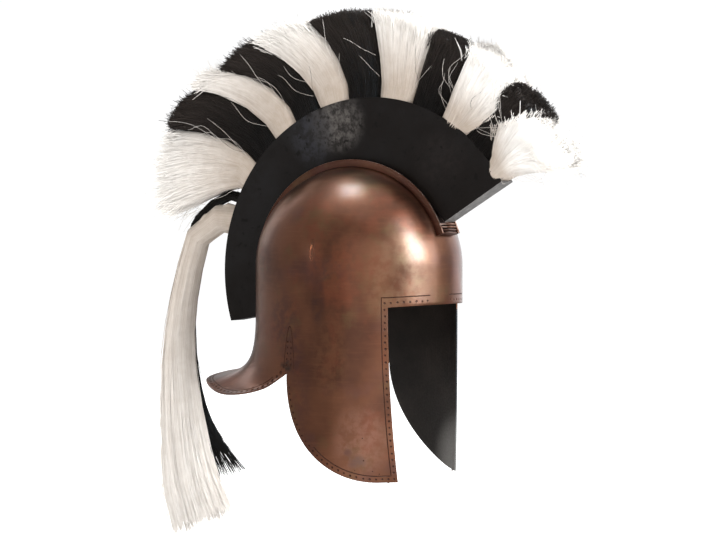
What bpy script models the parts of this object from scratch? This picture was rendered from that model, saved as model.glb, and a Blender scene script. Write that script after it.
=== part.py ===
"""Greek helmet: a copper skull with fixed cheek guards and a flared neck guard, a black crest box
in a raised copper channel, and a plume of black and white hair with two long tails.

The front faces -Y, the wearer's left is +X, and up is +Z. The origin is the inside of the crown,
where the wearer's head meets it. "Forward" is measured towards the front from the middle of the
skull, and "depth" down from the outside of the crown. Lengths are metres.
"""

import math

import bmesh
import bpy
from mathutils import Vector

NAME = "greek_helmet"
GAP = 0.0003
SHARP_DEGREES = 35.0
ON_MIDDLE = 1e-6
MERGE_DISTANCE = 0.0001

# Skull, cheek guards and neck guard: one raised plate
PLATE = 0.0015
SKULL_HALF_LENGTH = 0.119
SKULL_HALF_WIDTH = 0.095
DOME_HEIGHT = 0.107
BROW_DEPTH = 0.1485
BROW_LIFT = 0.0025
CHEEK_FRONT = 0.085
CHEEK_TIP = 0.0935
TIP_DEPTH = 0.329
TIP_TUCK = 0.0045
CHEEK_FLARE = 0.015
CHEEK_BOTTOM = 0.077
CHEEK_ROUNDNESS = 1.93
NOTCH = -0.0235
NOTCH_DEPTH = 0.218
NECK_WALL = 0.190
NECK_WAIST = 0.214
NECK_TURN = 0.15
NECK_DROOP = 0.008
# The neck guard's rim on one side: the angle round from the front, how far it stands out from the
# skull, and its depth
RIM_COLUMNS = ("angle", "flare", "depth")
NECK_RIM = (
    (101.4, 0.000, 0.218),
    (113.0, 0.014, 0.236),
    (130.0, 0.037, 0.243),
    (150.0, 0.051, 0.234),
    (180.0, 0.056, 0.228),
)
DOME_ROWS = 9
BELT_ROWS = 2
BROW_COLUMNS = 5
CHEEK_COLUMNS = 8
NECK_COLUMNS = 9
NECK_ROWS = 6
CHEEK_ROWS = 7

# Raised channel over the dome, open at the top, that holds the crest box
CHANNEL_HALF_WIDTH = 0.0165
CHANNEL_HEIGHT = 0.006
CHANNEL_WALL = 0.002
CHANNEL_FLOOR = 0.003
CHANNEL_FRONT_WALL = 0.005
CHANNEL_FRONT_DEPTH = 0.0745
CHANNEL_REAR_DEPTH = 0.160
CHANNEL_STATIONS = 28
CHANNEL_GAP = 0.0005
CHANNEL_STEP = 1.1

# Crest box: a trough whose outer edge is an arc of an ellipse in the helmet's middle plane
BOX_WALL = 0.0012
BOX_HALF_BOTTOM = 0.0095
BOX_HALF_TOP = 0.0115
BOX_CENTRE_FORWARD = 0.0185
BOX_CENTRE_DEPTH = 0.115
BOX_ARC_LENGTH_AXIS = 0.1955
BOX_ARC_HEIGHT_AXIS = 0.1875
BOX_FRONT_ANGLE = 59.5
BOX_REAR_ANGLE = -107.5
BOX_FRONT_DEPTH = 0.0645
BOX_FRONT_RISE = 0.005
BOX_RISE_SHARE = 0.1
BOX_REAR_DEPTH = 0.164
BOX_STATIONS = 28

# Plume. Each border between two tufts starts on the box's outer arc at an angle, leaves it
# squarely, and bends to its tip; bow is how far the square start carries.
ROOT_DEPTH = 0.024
ROOT_HALF_WIDTH = 0.0080
TUFT_HALF_WIDTH = 0.0096
TUFT_TIP_HALF_WIDTH = 0.022
TUFT_GAP = 0.0004
TUFT_PARTING = 0.0016
TUFT_BULGE = 0.07
BORDER_COLUMNS = ("angle", "tip_forward", "tip_up", "bow")
TUFT_BORDERS = (
    (58.7, 0.243, -0.009, 0.30),
    (52.5, 0.232, 0.046, 0.38),
    (39.1, 0.199, 0.083, 0.45),
    (29.0, 0.161, 0.121, 0.45),
    (16.9, 0.106, 0.142, 0.45),
    (4.8, 0.029, 0.165, 0.50),
    (-7.1, -0.057, 0.158, 0.50),
    (-17.8, -0.120, 0.142, 0.50),
    (-29.0, -0.182, 0.111, 0.50),
    (-38.6, -0.213, 0.093, 0.50),
    (-50.1, -0.258, 0.049, 0.45),
    (-60.3, -0.266, -0.042, 0.15),
)
TUFT_LOCKS = 4
TUFT_RAGGED = 0.02
LOCK_OVERLAP = 0.2
LOCK_STATIONS = (0.0, 0.3, 0.65, 0.95, 1.0)
# A lock's section is a rectangle with cut corners. Its start is a share of the root's depth, and
# its foot and its end are narrower than the rest by these shares.
LOCK_CORNER = 0.55
LOCK_START = 0.68
LOCK_START_STEP = 0.05
LOCK_FOOT_ACROSS = 0.8
LOCK_FOOT_SIDE = 0.72
LOCK_END = 0.7
ROOT_TOP = 0.003

# Tails: the middle of each bundle, its half size across the route in the middle plane, and its
# half size from side to side
TAIL_COLUMNS = ("forward", "up", "side", "half_depth", "half_side")
TAIL_BLACK_ANGLES = (-60.6, -64.4)
TAIL_BLACK = (
    (-0.182, -0.0285, 0.003, 0.0048, 0.0085),
    (-0.202, -0.0340, 0.009, 0.0045, 0.0075),
    (-0.224, -0.0440, 0.016, 0.0050, 0.0070),
    (-0.240, -0.0560, 0.021, 0.0065, 0.0075),
    (-0.250, -0.0740, 0.022, 0.0080, 0.0080),
    (-0.256, -0.110, 0.021, 0.0090, 0.0090),
    (-0.257, -0.155, 0.022, 0.0100, 0.0100),
    (-0.257, -0.205, 0.025, 0.0110, 0.0110),
    (-0.252, -0.250, 0.031, 0.0130, 0.0120),
    (-0.233, -0.300, 0.036, 0.0150, 0.0130),
    (-0.206, -0.359, 0.038, 0.0170, 0.0140),
)
TAIL_WHITE_ANGLES = (-64.9, -75.9)
TAIL_WHITE = (
    (-0.178, -0.051, -0.001, 0.0160, 0.0095),
    (-0.197, -0.058, -0.006, 0.0150, 0.0110),
    (-0.212, -0.069, -0.009, 0.0140, 0.0125),
    (-0.221, -0.084, -0.010, 0.0135, 0.0135),
    (-0.231, -0.117, -0.010, 0.0140, 0.0140),
    (-0.243, -0.168, -0.010, 0.0155, 0.0155),
    (-0.248, -0.218, -0.009, 0.0190, 0.0180),
    (-0.245, -0.264, -0.008, 0.0230, 0.0210),
    (-0.241, -0.310, -0.008, 0.0270, 0.0240),
    (-0.234, -0.356, -0.008, 0.0320, 0.0260),
    (-0.214, -0.402, -0.008, 0.0270, 0.0240),
)
TAIL_BLACK_LOCKS = 3
TAIL_WHITE_LOCKS = 5
# Locks stand round a tail's route at a share of its half size, and take up the rest of it
TAIL_LOCK_OFFSET = 0.42
TAIL_END_OFFSET = 0.55
TAIL_END = 0.6
TAIL_FIRST_TURN = 0.27
TAIL_RAGGED = 0.12
TAIL_MOUTH_BELOW = 0.002
TAIL_MOUTH_SHARE = 0.40


def row(columns, values):
    return dict(zip(columns, values))


def spread(start, end, count):
    """count + 1 evenly spaced values."""
    return [start + (end - start) * i / count for i in range(count + 1)]


def smooth_between(rows, key, at, columns):
    """A column of a table at any value of its first column, by a cubic through the rows."""
    keys = [r[0] for r in rows]
    values = [r[columns.index(key)] for r in rows]
    slopes = []
    for i in range(len(rows)):
        low = max(i - 1, 0)
        high = min(i + 1, len(rows) - 1)
        slopes.append((values[high] - values[low]) / (keys[high] - keys[low]))
    i = max(k for k in range(len(rows) - 1) if keys[k] <= at or k == 0)
    span = keys[i + 1] - keys[i]
    t = min(max((at - keys[i]) / span, 0.0), 1.0)
    return (
        values[i] * (2 * t**3 - 3 * t**2 + 1)
        + values[i + 1] * (3 * t**2 - 2 * t**3)
        + slopes[i] * span * (t**3 - 2 * t**2 + t)
        + slopes[i + 1] * span * (t**3 - t**2)
    )


def bezier(points, t):
    """A Bezier curve of any order, through numbers or vectors."""
    points = list(points)
    while len(points) > 1:
        points = [a * (1.0 - t) + b * t for a, b in zip(points, points[1:])]
    return points[0]


def middle_point(forward, depth, side=0.0):
    """A point in the helmet's frame from its forward distance and its depth."""
    return Vector((side, -forward, PLATE - depth))


# Scene and objects


def clear_scene():
    for old in list(bpy.data.objects):
        bpy.data.objects.remove(old, do_unlink=True)


def new_collection(name):
    collection = bpy.data.collections.new(name)
    bpy.context.scene.collection.children.link(collection)
    return collection


def new_material(name, colour, roughness, metallic):
    material = bpy.data.materials.new(name)
    material.use_nodes = True
    shader = material.node_tree.nodes["Principled BSDF"]
    shader.inputs["Base Color"].default_value = (*colour, 1.0)
    shader.inputs["Roughness"].default_value = roughness
    shader.inputs["Metallic"].default_value = metallic
    material.diffuse_color = (*colour, 1.0)
    return material


def mesh_object(name, form, collection, material=None):
    """An object from a bmesh, shaded smooth but for its hard edges."""
    mesh = bpy.data.meshes.new(name)
    form.to_mesh(mesh)
    form.free()
    mesh.shade_smooth()
    mesh.set_sharp_from_angle(angle=math.radians(SHARP_DEGREES))
    if material:
        mesh.materials.append(material)
    thing = bpy.data.objects.new(name, mesh)
    collection.objects.link(thing)
    return thing


def skin_rows(form, rows):
    """Quads between successive rows of vertices, facing out where rows run down and columns back."""
    for upper, lower in zip(rows, rows[1:]):
        for i in range(len(upper) - 1):
            corners = [upper[i], lower[i], lower[i + 1], upper[i + 1]]
            form.faces.new(corners)


def add_loft(form, rings):
    """A closed body through rings of points, capped at both ends."""
    made = [[form.verts.new(p) for p in ring] for ring in rings]
    for a, b in zip(made, made[1:]):
        for i in range(len(a)):
            j = (i + 1) % len(a)
            form.faces.new([a[i], a[j], b[j], b[i]])
    form.faces.new(list(reversed(made[0])))
    form.faces.new(made[-1])


# Skull


def skull_scale(depth):
    """The share of its full width that the skull has at a depth."""
    if depth >= DOME_HEIGHT:
        return 1.0
    return math.sqrt(1.0 - (1.0 - depth / DOME_HEIGHT) ** 2)


def angle_at(forward):
    """The angle round the skull, from the front, of a forward distance at full width."""
    return math.acos(forward / SKULL_HALF_LENGTH)


def skull_point(angle, depth, out=0.0):
    """A point on the skull's outer skin, or standing out from it squarely in plan."""
    scale = skull_scale(depth)
    forward = SKULL_HALF_LENGTH * scale * math.cos(angle)
    side = SKULL_HALF_WIDTH * scale * math.sin(angle)
    square = Vector((math.sin(angle) / SKULL_HALF_WIDTH, math.cos(angle) / SKULL_HALF_LENGTH))
    square.normalize()
    return middle_point(forward + out * square.y, depth, side + out * square.x)


def cheek_out(angle, depth):
    """How far a cheek guard leaves the skull's plain ellipse: in at its tip, out at its rear."""
    drop = max(0.0, (depth - BROW_DEPTH) / (TIP_DEPTH - BROW_DEPTH))
    front = angle_at(CHEEK_FRONT)
    rear = angle_at(NOTCH)
    share = min(1.0, max(0.0, (angle - front) / (rear - front)))
    return drop**2 * (share * CHEEK_FLARE - (1.0 - share) * TIP_TUCK)


def cheek_front(depth):
    """Forward distance of a cheek guard's front edge, which runs forward towards the tip."""
    drop = max(0.0, (depth - BROW_DEPTH) / (TIP_DEPTH - BROW_DEPTH))
    return CHEEK_FRONT + (CHEEK_TIP - CHEEK_FRONT) * drop**2


def cheek_edge(turn):
    """Forward distance and depth along the cheek guard's rear and lower edge, turn from 0 to 1."""
    power = 2.0 / CHEEK_ROUNDNESS
    quarter = turn * math.pi / 2
    forward = CHEEK_BOTTOM - (CHEEK_BOTTOM - NOTCH) * max(0.0, math.cos(quarter)) ** power
    depth = NOTCH_DEPTH + (TIP_DEPTH - NOTCH_DEPTH) * math.sin(quarter) ** power
    return forward, depth


def brow_edge(angle):
    """Depth of the brow's lower edge, which lifts a little at the middle."""
    share = min(1.0, angle / angle_at(CHEEK_FRONT))
    return BROW_DEPTH - BROW_LIFT * (1.0 - share**2)


def neck_curve(angle, t):
    """How far out and how deep the neck guard is, t from 0 at the brow's level to 1 at its rim."""
    degrees = math.degrees(angle)
    flare = smooth_between(NECK_RIM, "flare", degrees, RIM_COLUMNS)
    rim = smooth_between(NECK_RIM, "depth", degrees, RIM_COLUMNS)
    droop = NECK_DROOP * flare / NECK_RIM[-1][1]
    out = bezier((0.0, 0.0, 0.0, NECK_TURN * flare, flare), t)
    depth = bezier((BROW_DEPTH, NECK_WALL, NECK_WAIST, rim - droop, rim), t)
    return out, depth


def make_shell(collection, material):
    form = bmesh.new()
    front = angle_at(CHEEK_FRONT)
    notch = angle_at(NOTCH)
    angles = spread(0.0, front, BROW_COLUMNS)
    angles += spread(front, notch, CHEEK_COLUMNS)[1:]
    angles += spread(notch, math.pi, NECK_COLUMNS)[1:]

    rows = []
    for i in range(1, DOME_ROWS + 1):
        depth = DOME_HEIGHT * (1.0 - math.cos(math.pi / 2 * i / DOME_ROWS))
        rows.append([form.verts.new(skull_point(a, depth)) for a in angles])
    for i in range(1, BELT_ROWS + 1):
        share = i / BELT_ROWS
        rows.append([
            form.verts.new(skull_point(a, DOME_HEIGHT + share * (brow_edge(a) - DOME_HEIGHT)))
            for a in angles
        ])
    pole = form.verts.new(middle_point(0.0, 0.0))
    for i in range(len(angles) - 1):
        form.faces.new([pole, rows[0][i], rows[0][i + 1]])
    skin_rows(form, rows)

    belt = rows[-1]
    cheek = [belt[BROW_COLUMNS : BROW_COLUMNS + CHEEK_COLUMNS + 1]]
    ends = [(neck_curve(notch, t)[1], notch) for t in spread(0.0, 1.0, NECK_ROWS)[1:]]
    for turn in spread(0.0, 1.0, CHEEK_ROWS)[1:]:
        forward, depth = cheek_edge(turn)
        ends.append((depth, angle_at(forward)))
    for depth, rear in ends:
        across = spread(angle_at(cheek_front(depth)), rear, CHEEK_COLUMNS)
        cheek.append([form.verts.new(skull_point(a, depth, cheek_out(a, depth))) for a in across])
    skin_rows(form, cheek)

    neck_angles = angles[BROW_COLUMNS + CHEEK_COLUMNS :]
    neck = [belt[BROW_COLUMNS + CHEEK_COLUMNS :]]
    for i in range(1, NECK_ROWS + 1):
        line = [cheek[i][-1]]
        for a in neck_angles[1:]:
            out, depth = neck_curve(a, i / NECK_ROWS)
            line.append(form.verts.new(skull_point(a, depth, out + cheek_out(notch, depth))))
        neck.append(line)
    skin_rows(form, neck)

    for vert in form.verts:
        if abs(vert.co.x) < ON_MIDDLE:
            vert.co.x = 0.0
    shell = mesh_object("helmet_shell", form, collection, material)
    mirror = shell.modifiers.new("other side", "MIRROR")
    mirror.use_axis = (True, False, False)
    mirror.merge_threshold = MERGE_DISTANCE
    wall = shell.modifiers.new("plate", "SOLIDIFY")
    wall.thickness = PLATE
    wall.offset = -1.0
    wall.use_even_offset = True
    return shell


# Crest channel and crest box


def ridge(travel):
    """A point of the skull's middle line and its outward direction, as (forward, up) pairs.

    travel is an angle over the dome, positive to the front; past the rear's widest level it goes
    on straight down, an angle of 1 being DOME_HEIGHT.
    """
    past = max(0.0, -travel - math.pi / 2)
    turn = max(travel, -math.pi / 2)
    forward = SKULL_HALF_LENGTH * math.sin(turn)
    up = DOME_HEIGHT * math.cos(turn) - past * DOME_HEIGHT
    out = Vector((math.sin(turn) / SKULL_HALF_LENGTH, math.cos(turn) / DOME_HEIGHT)).normalized()
    return Vector((forward, up)), out


def travel_to(depth, side):
    """The travel along the ridge that reaches a depth at the front (side 1) or the rear (-1)."""
    if depth <= DOME_HEIGHT:
        return side * math.acos(1.0 - depth / DOME_HEIGHT)
    return side * (math.pi / 2 + (depth - DOME_HEIGHT) / DOME_HEIGHT)


def off_ridge(travel, side, height):
    """A point off the skull's middle line: to one side along the skull's skin, then outwards."""
    base, out = ridge(travel)
    sink = math.sqrt(1.0 - (side / SKULL_HALF_WIDTH) ** 2)
    if travel < -math.pi / 2:
        skin = Vector((base.x * sink, base.y))
    else:
        skin = base * sink
    point = skin + out * height
    return middle_point(point.x, DOME_HEIGHT - point.y, side)


def make_channel(collection, material):
    form = bmesh.new()
    start = travel_to(CHANNEL_FRONT_DEPTH, 1)
    end = travel_to(CHANNEL_REAR_DEPTH, -1)
    wall_travel = CHANNEL_WALL / DOME_HEIGHT
    stations = [(start, CHANNEL_FRONT_WALL), (start - wall_travel, CHANNEL_FRONT_WALL)]
    inner = start - CHANNEL_STEP * wall_travel
    stations += [(t, CHANNEL_FLOOR) for t in spread(inner, end, CHANNEL_STATIONS)]
    outer_x = CHANNEL_HALF_WIDTH
    inner_x = CHANNEL_HALF_WIDTH - CHANNEL_WALL
    rings = []
    for travel, floor in stations:
        base, out = ridge(travel)
        rim = base + out * (CHANNEL_HEIGHT + CHANNEL_GAP)
        rims = {x: middle_point(rim.x, DOME_HEIGHT - rim.y, x)
                for x in (-outer_x, -inner_x, inner_x, outer_x)}
        under = [off_ridge(travel, x, CHANNEL_GAP) for x in spread(outer_x, -outer_x, 4)]
        top = [off_ridge(travel, x, CHANNEL_GAP + floor) for x in spread(-inner_x, inner_x, 2)]
        rings.append(under + [rims[-outer_x], rims[-inner_x]] + top
                     + [rims[inner_x], rims[outer_x]])
    add_loft(form, rings)
    bmesh.ops.recalc_face_normals(form, faces=form.faces)
    return mesh_object("crest_channel", form, collection, material)


def box_arc(angle):
    """The crest box's outer edge at an angle in degrees, and its outward direction."""
    turn = math.radians(angle)
    point = Vector((
        BOX_CENTRE_FORWARD + BOX_ARC_LENGTH_AXIS * math.sin(turn),
        PLATE - BOX_CENTRE_DEPTH + BOX_ARC_HEIGHT_AXIS * math.cos(turn),
    ))
    out = Vector((math.sin(turn) / BOX_ARC_LENGTH_AXIS, math.cos(turn) / BOX_ARC_HEIGHT_AXIS))
    return point, out.normalized()


def box_foot(angle):
    """The bottom of the crest box under an angle of its outer edge."""
    share = (BOX_FRONT_ANGLE - angle) / (BOX_FRONT_ANGLE - BOX_REAR_ANGLE)
    front = travel_to(BOX_FRONT_DEPTH, 1)
    rear = travel_to(BOX_REAR_DEPTH, -1)
    base, out = ridge(front + (rear - front) * share)
    rise = BOX_FRONT_RISE * max(0.0, 1.0 - share / BOX_RISE_SHARE) ** 2
    foot = base + out * (CHANNEL_GAP + CHANNEL_FLOOR + GAP + rise)
    return Vector((foot.x, PLATE - DOME_HEIGHT + foot.y))


def make_box(collection, material):
    form = bmesh.new()
    rows = []
    for angle in spread(BOX_FRONT_ANGLE, BOX_REAR_ANGLE, BOX_STATIONS):
        top = box_arc(angle)[0]
        foot = box_foot(angle)
        half = foot.lerp(top, 0.5)
        mean = (BOX_HALF_TOP + BOX_HALF_BOTTOM) / 2
        section = (
            (top, -BOX_HALF_TOP), (half, -mean), (foot, -BOX_HALF_BOTTOM),
            (foot, BOX_HALF_BOTTOM), (half, mean), (top, BOX_HALF_TOP),
        )
        rows.append([form.verts.new((side, -p.x, p.y)) for p, side in section])
    skin_rows(form, rows)
    for line, turned in ((rows[0], False), (rows[-1], True)):
        for i in range(2):
            corners = [line[i], line[i + 1], line[-2 - i], line[-1 - i]]
            form.faces.new(corners[::-1] if turned else corners)
    box = mesh_object("crest_box", form, collection, material)
    wall = box.modifiers.new("sheet", "SOLIDIFY")
    wall.thickness = BOX_WALL
    wall.offset = -1.0
    wall.use_even_offset = True
    return box


# Plume


def inner_line(angle, below):
    """A point inside the crest box, some way below its outer edge."""
    top = box_arc(angle)[0]
    foot = box_foot(angle)
    return top + (foot - top).normalized() * below


def border_point(border, t, side):
    """A point on a border between tufts, set to one side by a gap that widens to the tips."""
    start, out = box_arc(border["angle"])
    tip = Vector((border["tip_forward"], border["tip_up"]))
    bend = start + out * (tip - start).length * border["bow"]
    along = Vector((out.y, -out.x))
    return bezier((start, bend, tip), t) + along * side * (TUFT_GAP + TUFT_PARTING * t)


def ring_round(middle, across, half_across, half_side, side):
    """Eight points round a lock: a rectangle with its corners cut."""
    cut = LOCK_CORNER
    shape = ((1, cut), (cut, 1), (-cut, 1), (-1, cut), (-1, -cut), (-cut, -1), (cut, -1), (1, -cut))
    ring = []
    for a, s in shape:
        point = middle + across * (a * half_across)
        ring.append(Vector((side + s * half_side, -point.x, point.y)))
    return ring


def root_block(form, first_angle, last_angle):
    """The bound root of a tuft, inside the crest box."""
    rings = []
    for below, half in ((ROOT_TOP, TUFT_HALF_WIDTH), (ROOT_DEPTH, ROOT_HALF_WIDTH)):
        ring = []
        for angle, inset, side in (
            (first_angle, -TUFT_GAP, half), (first_angle, -TUFT_GAP, -half),
            (last_angle, TUFT_GAP, -half), (last_angle, TUFT_GAP, half),
        ):
            out = box_arc(angle)[1]
            point = inner_line(angle, below) + Vector((out.y, -out.x)) * inset
            ring.append(Vector((side, -point.x, point.y)))
        rings.append(ring)
    add_loft(form, rings)
    bmesh.ops.recalc_face_normals(form, faces=form.faces)


def lock_start(index):
    """How far below the box's outer edge a lock starts, each at its own depth in the root."""
    return ROOT_DEPTH * (LOCK_START + LOCK_START_STEP * index)


def fuse(name, head, locks, collection, cutters, material):
    """A root block with its locks united to it."""
    body = mesh_object(name, head, collection, material)
    bmesh.ops.recalc_face_normals(locks, faces=locks.faces)
    strands = mesh_object(name + "_locks", locks, cutters)
    strands.hide_render = True
    strands.display_type = "WIRE"
    union = body.modifiers.new("locks", "BOOLEAN")
    union.operation = "UNION"
    union.solver = "EXACT"
    union.use_self = True
    union.object = strands
    return body


def make_tuft(index, front, rear, collection, cutters, material):
    """A tuft between two borders: locks side by side, fanning out from a bound root."""
    locks = bmesh.new()
    half = 0.5 / (TUFT_LOCKS - (TUFT_LOCKS - 1) * LOCK_OVERLAP)
    step = 2 * half * (1.0 - LOCK_OVERLAP)
    for k in range(TUFT_LOCKS):
        share = half + k * step
        ragged = TUFT_RAGGED * ((3 * k + 2 * index) % 4)
        reach = 1.0 - ragged + TUFT_BULGE * (1.0 - (2 * share - 1.0) ** 2)
        rings = []
        a = inner_line(front["angle"], lock_start(k))
        b = inner_line(rear["angle"], lock_start(k))
        stations = [(a, b, LOCK_FOOT_ACROSS, ROOT_HALF_WIDTH * LOCK_FOOT_SIDE)]
        for t in LOCK_STATIONS:
            a = border_point(front, t * reach, -1)
            b = border_point(rear, t * reach, 1)
            width = TUFT_HALF_WIDTH + (TUFT_TIP_HALF_WIDTH - TUFT_HALF_WIDTH) * t
            close = LOCK_END if t == 1.0 else 1.0
            stations.append((a, b, close, width * close))
        for a, b, close, half_side in stations:
            across = b - a
            middle = a.lerp(b, share)
            half_across = across.length * half * close
            rings.append(ring_round(middle, across.normalized(), half_across, half_side, 0.0))
        add_loft(locks, rings)
    head = bmesh.new()
    root_block(head, front["angle"], rear["angle"])
    name = f"plume_tuft_{index + 1:02d}"
    return fuse(name, head, locks, collection, cutters, material)


def make_tail(name, angles, table, count, collection, cutters, material):
    """A long hanging bundle of locks round a common route."""
    rows = [row(TAIL_COLUMNS, values) for values in table]
    locks = bmesh.new()
    middle_angle = sum(angles) / 2
    mouth = inner_line(middle_angle, TAIL_MOUTH_BELOW)
    width = box_arc(angles[0])[0] - box_arc(angles[1])[0]
    route = [Vector((r["forward"], r["up"])) for r in rows]
    for k in range(count):
        turn = 2 * math.pi * (k + TAIL_FIRST_TURN) / count
        ragged = TAIL_RAGGED * ((2 * k) % count - count / 2)
        end = route[-1] + (route[-1] - route[-2]) * ragged
        spots = [inner_line(middle_angle, lock_start(k)), mouth] + route[:-1] + [end]
        rings = []
        for i, spot in enumerate(spots):
            before = spots[max(i - 1, 0)]
            after = spots[min(i + 1, len(spots) - 1)]
            along = (after - before).normalized()
            across = Vector((along.y, -along.x))
            if i < 2:
                depth, sideways, side = width.length * TAIL_MOUTH_SHARE, ROOT_HALF_WIDTH, 0.0
            else:
                r = rows[i - 2]
                depth, sideways, side = r["half_depth"], r["half_side"], r["side"]
            last = i == len(spots) - 1
            offset = TAIL_END_OFFSET if last else TAIL_LOCK_OFFSET
            size = (1.0 - TAIL_LOCK_OFFSET) * (TAIL_END if last else 1.0)
            middle = spot + across * (depth * offset * math.cos(turn))
            side += sideways * offset * math.sin(turn)
            rings.append(ring_round(middle, across, depth * size, sideways * size, side))
        add_loft(locks, rings)
    head = bmesh.new()
    root_block(head, *angles)
    return fuse(name, head, locks, collection, cutters, material)


def main():
    clear_scene()
    parts = new_collection(NAME)
    cutters = new_collection(NAME + "_cutters")
    copper = new_material("antique_copper", (0.32, 0.13, 0.075), 0.32, 1.0)
    black_steel = new_material("black_steel", (0.020, 0.017, 0.016), 0.45, 0.6)
    white_hair = new_material("white_hair", (0.80, 0.77, 0.72), 0.6, 0.0)
    black_hair = new_material("black_hair", (0.012, 0.011, 0.012), 0.5, 0.0)

    make_shell(parts, copper)
    make_channel(parts, copper)
    make_box(parts, black_steel)
    borders = [row(BORDER_COLUMNS, values) for values in TUFT_BORDERS]
    for index, (front, rear) in enumerate(zip(borders, borders[1:])):
        hair = white_hair if index % 2 == 0 else black_hair
        make_tuft(index, front, rear, parts, cutters, hair)
    make_tail("tail_black", TAIL_BLACK_ANGLES, TAIL_BLACK, TAIL_BLACK_LOCKS,
              parts, cutters, black_hair)
    make_tail("tail_white", TAIL_WHITE_ANGLES, TAIL_WHITE, TAIL_WHITE_LOCKS,
              parts, cutters, white_hair)


main()
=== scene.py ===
"""Greek helmet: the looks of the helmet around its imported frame.

The front faces -Y, the wearer's left is +X, up is +Z, and the origin is the inside of the crown.
"Forward" is measured towards the front from the middle of the skull, and "depth" down from the
outside of the crown. Lengths are metres.
"""

import math

import bmesh
import bpy
import numpy as np
from bpy.props import FloatProperty, FloatVectorProperty, IntProperty, PointerProperty
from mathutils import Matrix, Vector
from mathutils.bvhtree import BVHTree


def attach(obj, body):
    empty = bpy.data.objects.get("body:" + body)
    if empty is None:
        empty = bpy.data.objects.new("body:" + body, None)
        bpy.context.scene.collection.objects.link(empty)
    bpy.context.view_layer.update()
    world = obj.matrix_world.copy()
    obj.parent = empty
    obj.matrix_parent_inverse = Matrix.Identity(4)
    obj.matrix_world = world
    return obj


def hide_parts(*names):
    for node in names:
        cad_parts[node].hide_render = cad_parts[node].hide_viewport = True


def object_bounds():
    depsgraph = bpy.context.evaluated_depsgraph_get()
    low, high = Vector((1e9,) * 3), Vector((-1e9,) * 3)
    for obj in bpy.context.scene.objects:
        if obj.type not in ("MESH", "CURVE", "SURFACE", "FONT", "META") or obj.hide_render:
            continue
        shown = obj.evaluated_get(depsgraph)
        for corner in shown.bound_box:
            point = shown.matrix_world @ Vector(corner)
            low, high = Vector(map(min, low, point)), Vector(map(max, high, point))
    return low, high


bl_info = {
    "name": "Greek Helmet",
    "version": (1, 0, 0),
    "blender": (4, 5, 0),
    "location": "View3D > Sidebar > Helmet",
    "description": "Copper skull, black crest box and a plume of black and white hair",
    "category": "Object",
}

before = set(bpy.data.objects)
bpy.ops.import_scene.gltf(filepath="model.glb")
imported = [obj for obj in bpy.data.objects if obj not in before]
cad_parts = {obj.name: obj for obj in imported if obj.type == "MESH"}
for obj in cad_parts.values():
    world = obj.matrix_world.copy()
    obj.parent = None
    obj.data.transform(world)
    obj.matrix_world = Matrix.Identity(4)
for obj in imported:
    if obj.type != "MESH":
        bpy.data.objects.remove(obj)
CAD_BOX = [list(corner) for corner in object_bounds()]
BODY = "root"
# Edges that turn by more than this stay sharp
SHARP_DEGREES = 32.0
TINY = 1e-9

# Skull and guards
SKULL_HALF_LENGTH = 0.119
SKULL_HALF_WIDTH = 0.095
DOME_HEIGHT = 0.107
BROW_DEPTH = 0.1485
BROW_LIFT = 0.0025
CHEEK_FRONT = 0.085
CHEEK_TIP = 0.0935
TIP_DEPTH = 0.329
TIP_TUCK = 0.0045
CHEEK_FLARE = 0.015
CHEEK_BOTTOM = 0.077
CHEEK_ROUNDNESS = 1.93
NOTCH = -0.0235
NOTCH_DEPTH = 0.218
NECK_WALL = 0.190
NECK_WAIST = 0.214
NECK_TURN = 0.15
NECK_DROOP = 0.008
RIM_COLUMNS = ("angle", "flare", "depth")
NECK_RIM = (
    (101.4, 0.000, 0.218),
    (113.0, 0.014, 0.236),
    (130.0, 0.037, 0.243),
    (150.0, 0.051, 0.234),
    (180.0, 0.056, 0.228),
)
# A point of one side closer to the middle than this lies on it
ON_MIDDLE = 1e-6
DOME_ROWS = 46
BELT_ROWS = 13
BROW_COLUMNS = 20
CHEEK_COLUMNS = 32
NECK_COLUMNS = 44
NECK_ROWS = 26
CHEEK_ROWS = 38

# Crest channel and crest box
CHANNEL_HALF_WIDTH = 0.0165
CHANNEL_HEIGHT = 0.006
CHANNEL_WALL = 0.002
CHANNEL_FLOOR = 0.003
CHANNEL_FRONT_WALL = 0.005
CHANNEL_FRONT_DEPTH = 0.0745
CHANNEL_REAR_DEPTH = 0.160
CHANNEL_GAP = 0.0005
CHANNEL_STATIONS = 110
BOX_GAP = 0.0003
BOX_WALL = 0.0012
BOX_HALF_BOTTOM = 0.0095
BOX_HALF_TOP = 0.0115
BOX_CENTRE_FORWARD = 0.0185
BOX_CENTRE_DEPTH = 0.115
BOX_ARC_LENGTH_AXIS = 0.1955
BOX_ARC_HEIGHT_AXIS = 0.1875
BOX_FRONT_ANGLE = 59.5
BOX_REAR_ANGLE = -107.5
BOX_FRONT_DEPTH = 0.0645
BOX_FRONT_RISE = 0.005
BOX_RISE_SHARE = 0.1
BOX_REAR_DEPTH = 0.164
BOX_STATIONS = 90

# Plume: a border between two tufts starts on the box's outer arc at an angle, leaves it squarely,
# and bends to its tip; bow is how far the square start carries
TUFT_HALF_WIDTH = 0.0100
BORDER_COLUMNS = ("angle", "tip_forward", "tip_up", "bow")
TUFT_BORDERS = (
    (58.7, 0.243, -0.009, 0.30),
    (52.5, 0.232, 0.046, 0.38),
    (39.1, 0.199, 0.083, 0.45),
    (29.0, 0.161, 0.121, 0.45),
    (16.9, 0.106, 0.142, 0.45),
    (4.8, 0.029, 0.165, 0.50),
    (-7.1, -0.057, 0.158, 0.50),
    (-17.8, -0.120, 0.142, 0.50),
    (-29.0, -0.182, 0.111, 0.50),
    (-38.6, -0.213, 0.093, 0.50),
    (-50.1, -0.258, 0.049, 0.45),
    (-60.3, -0.266, -0.042, 0.15),
)
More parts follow.
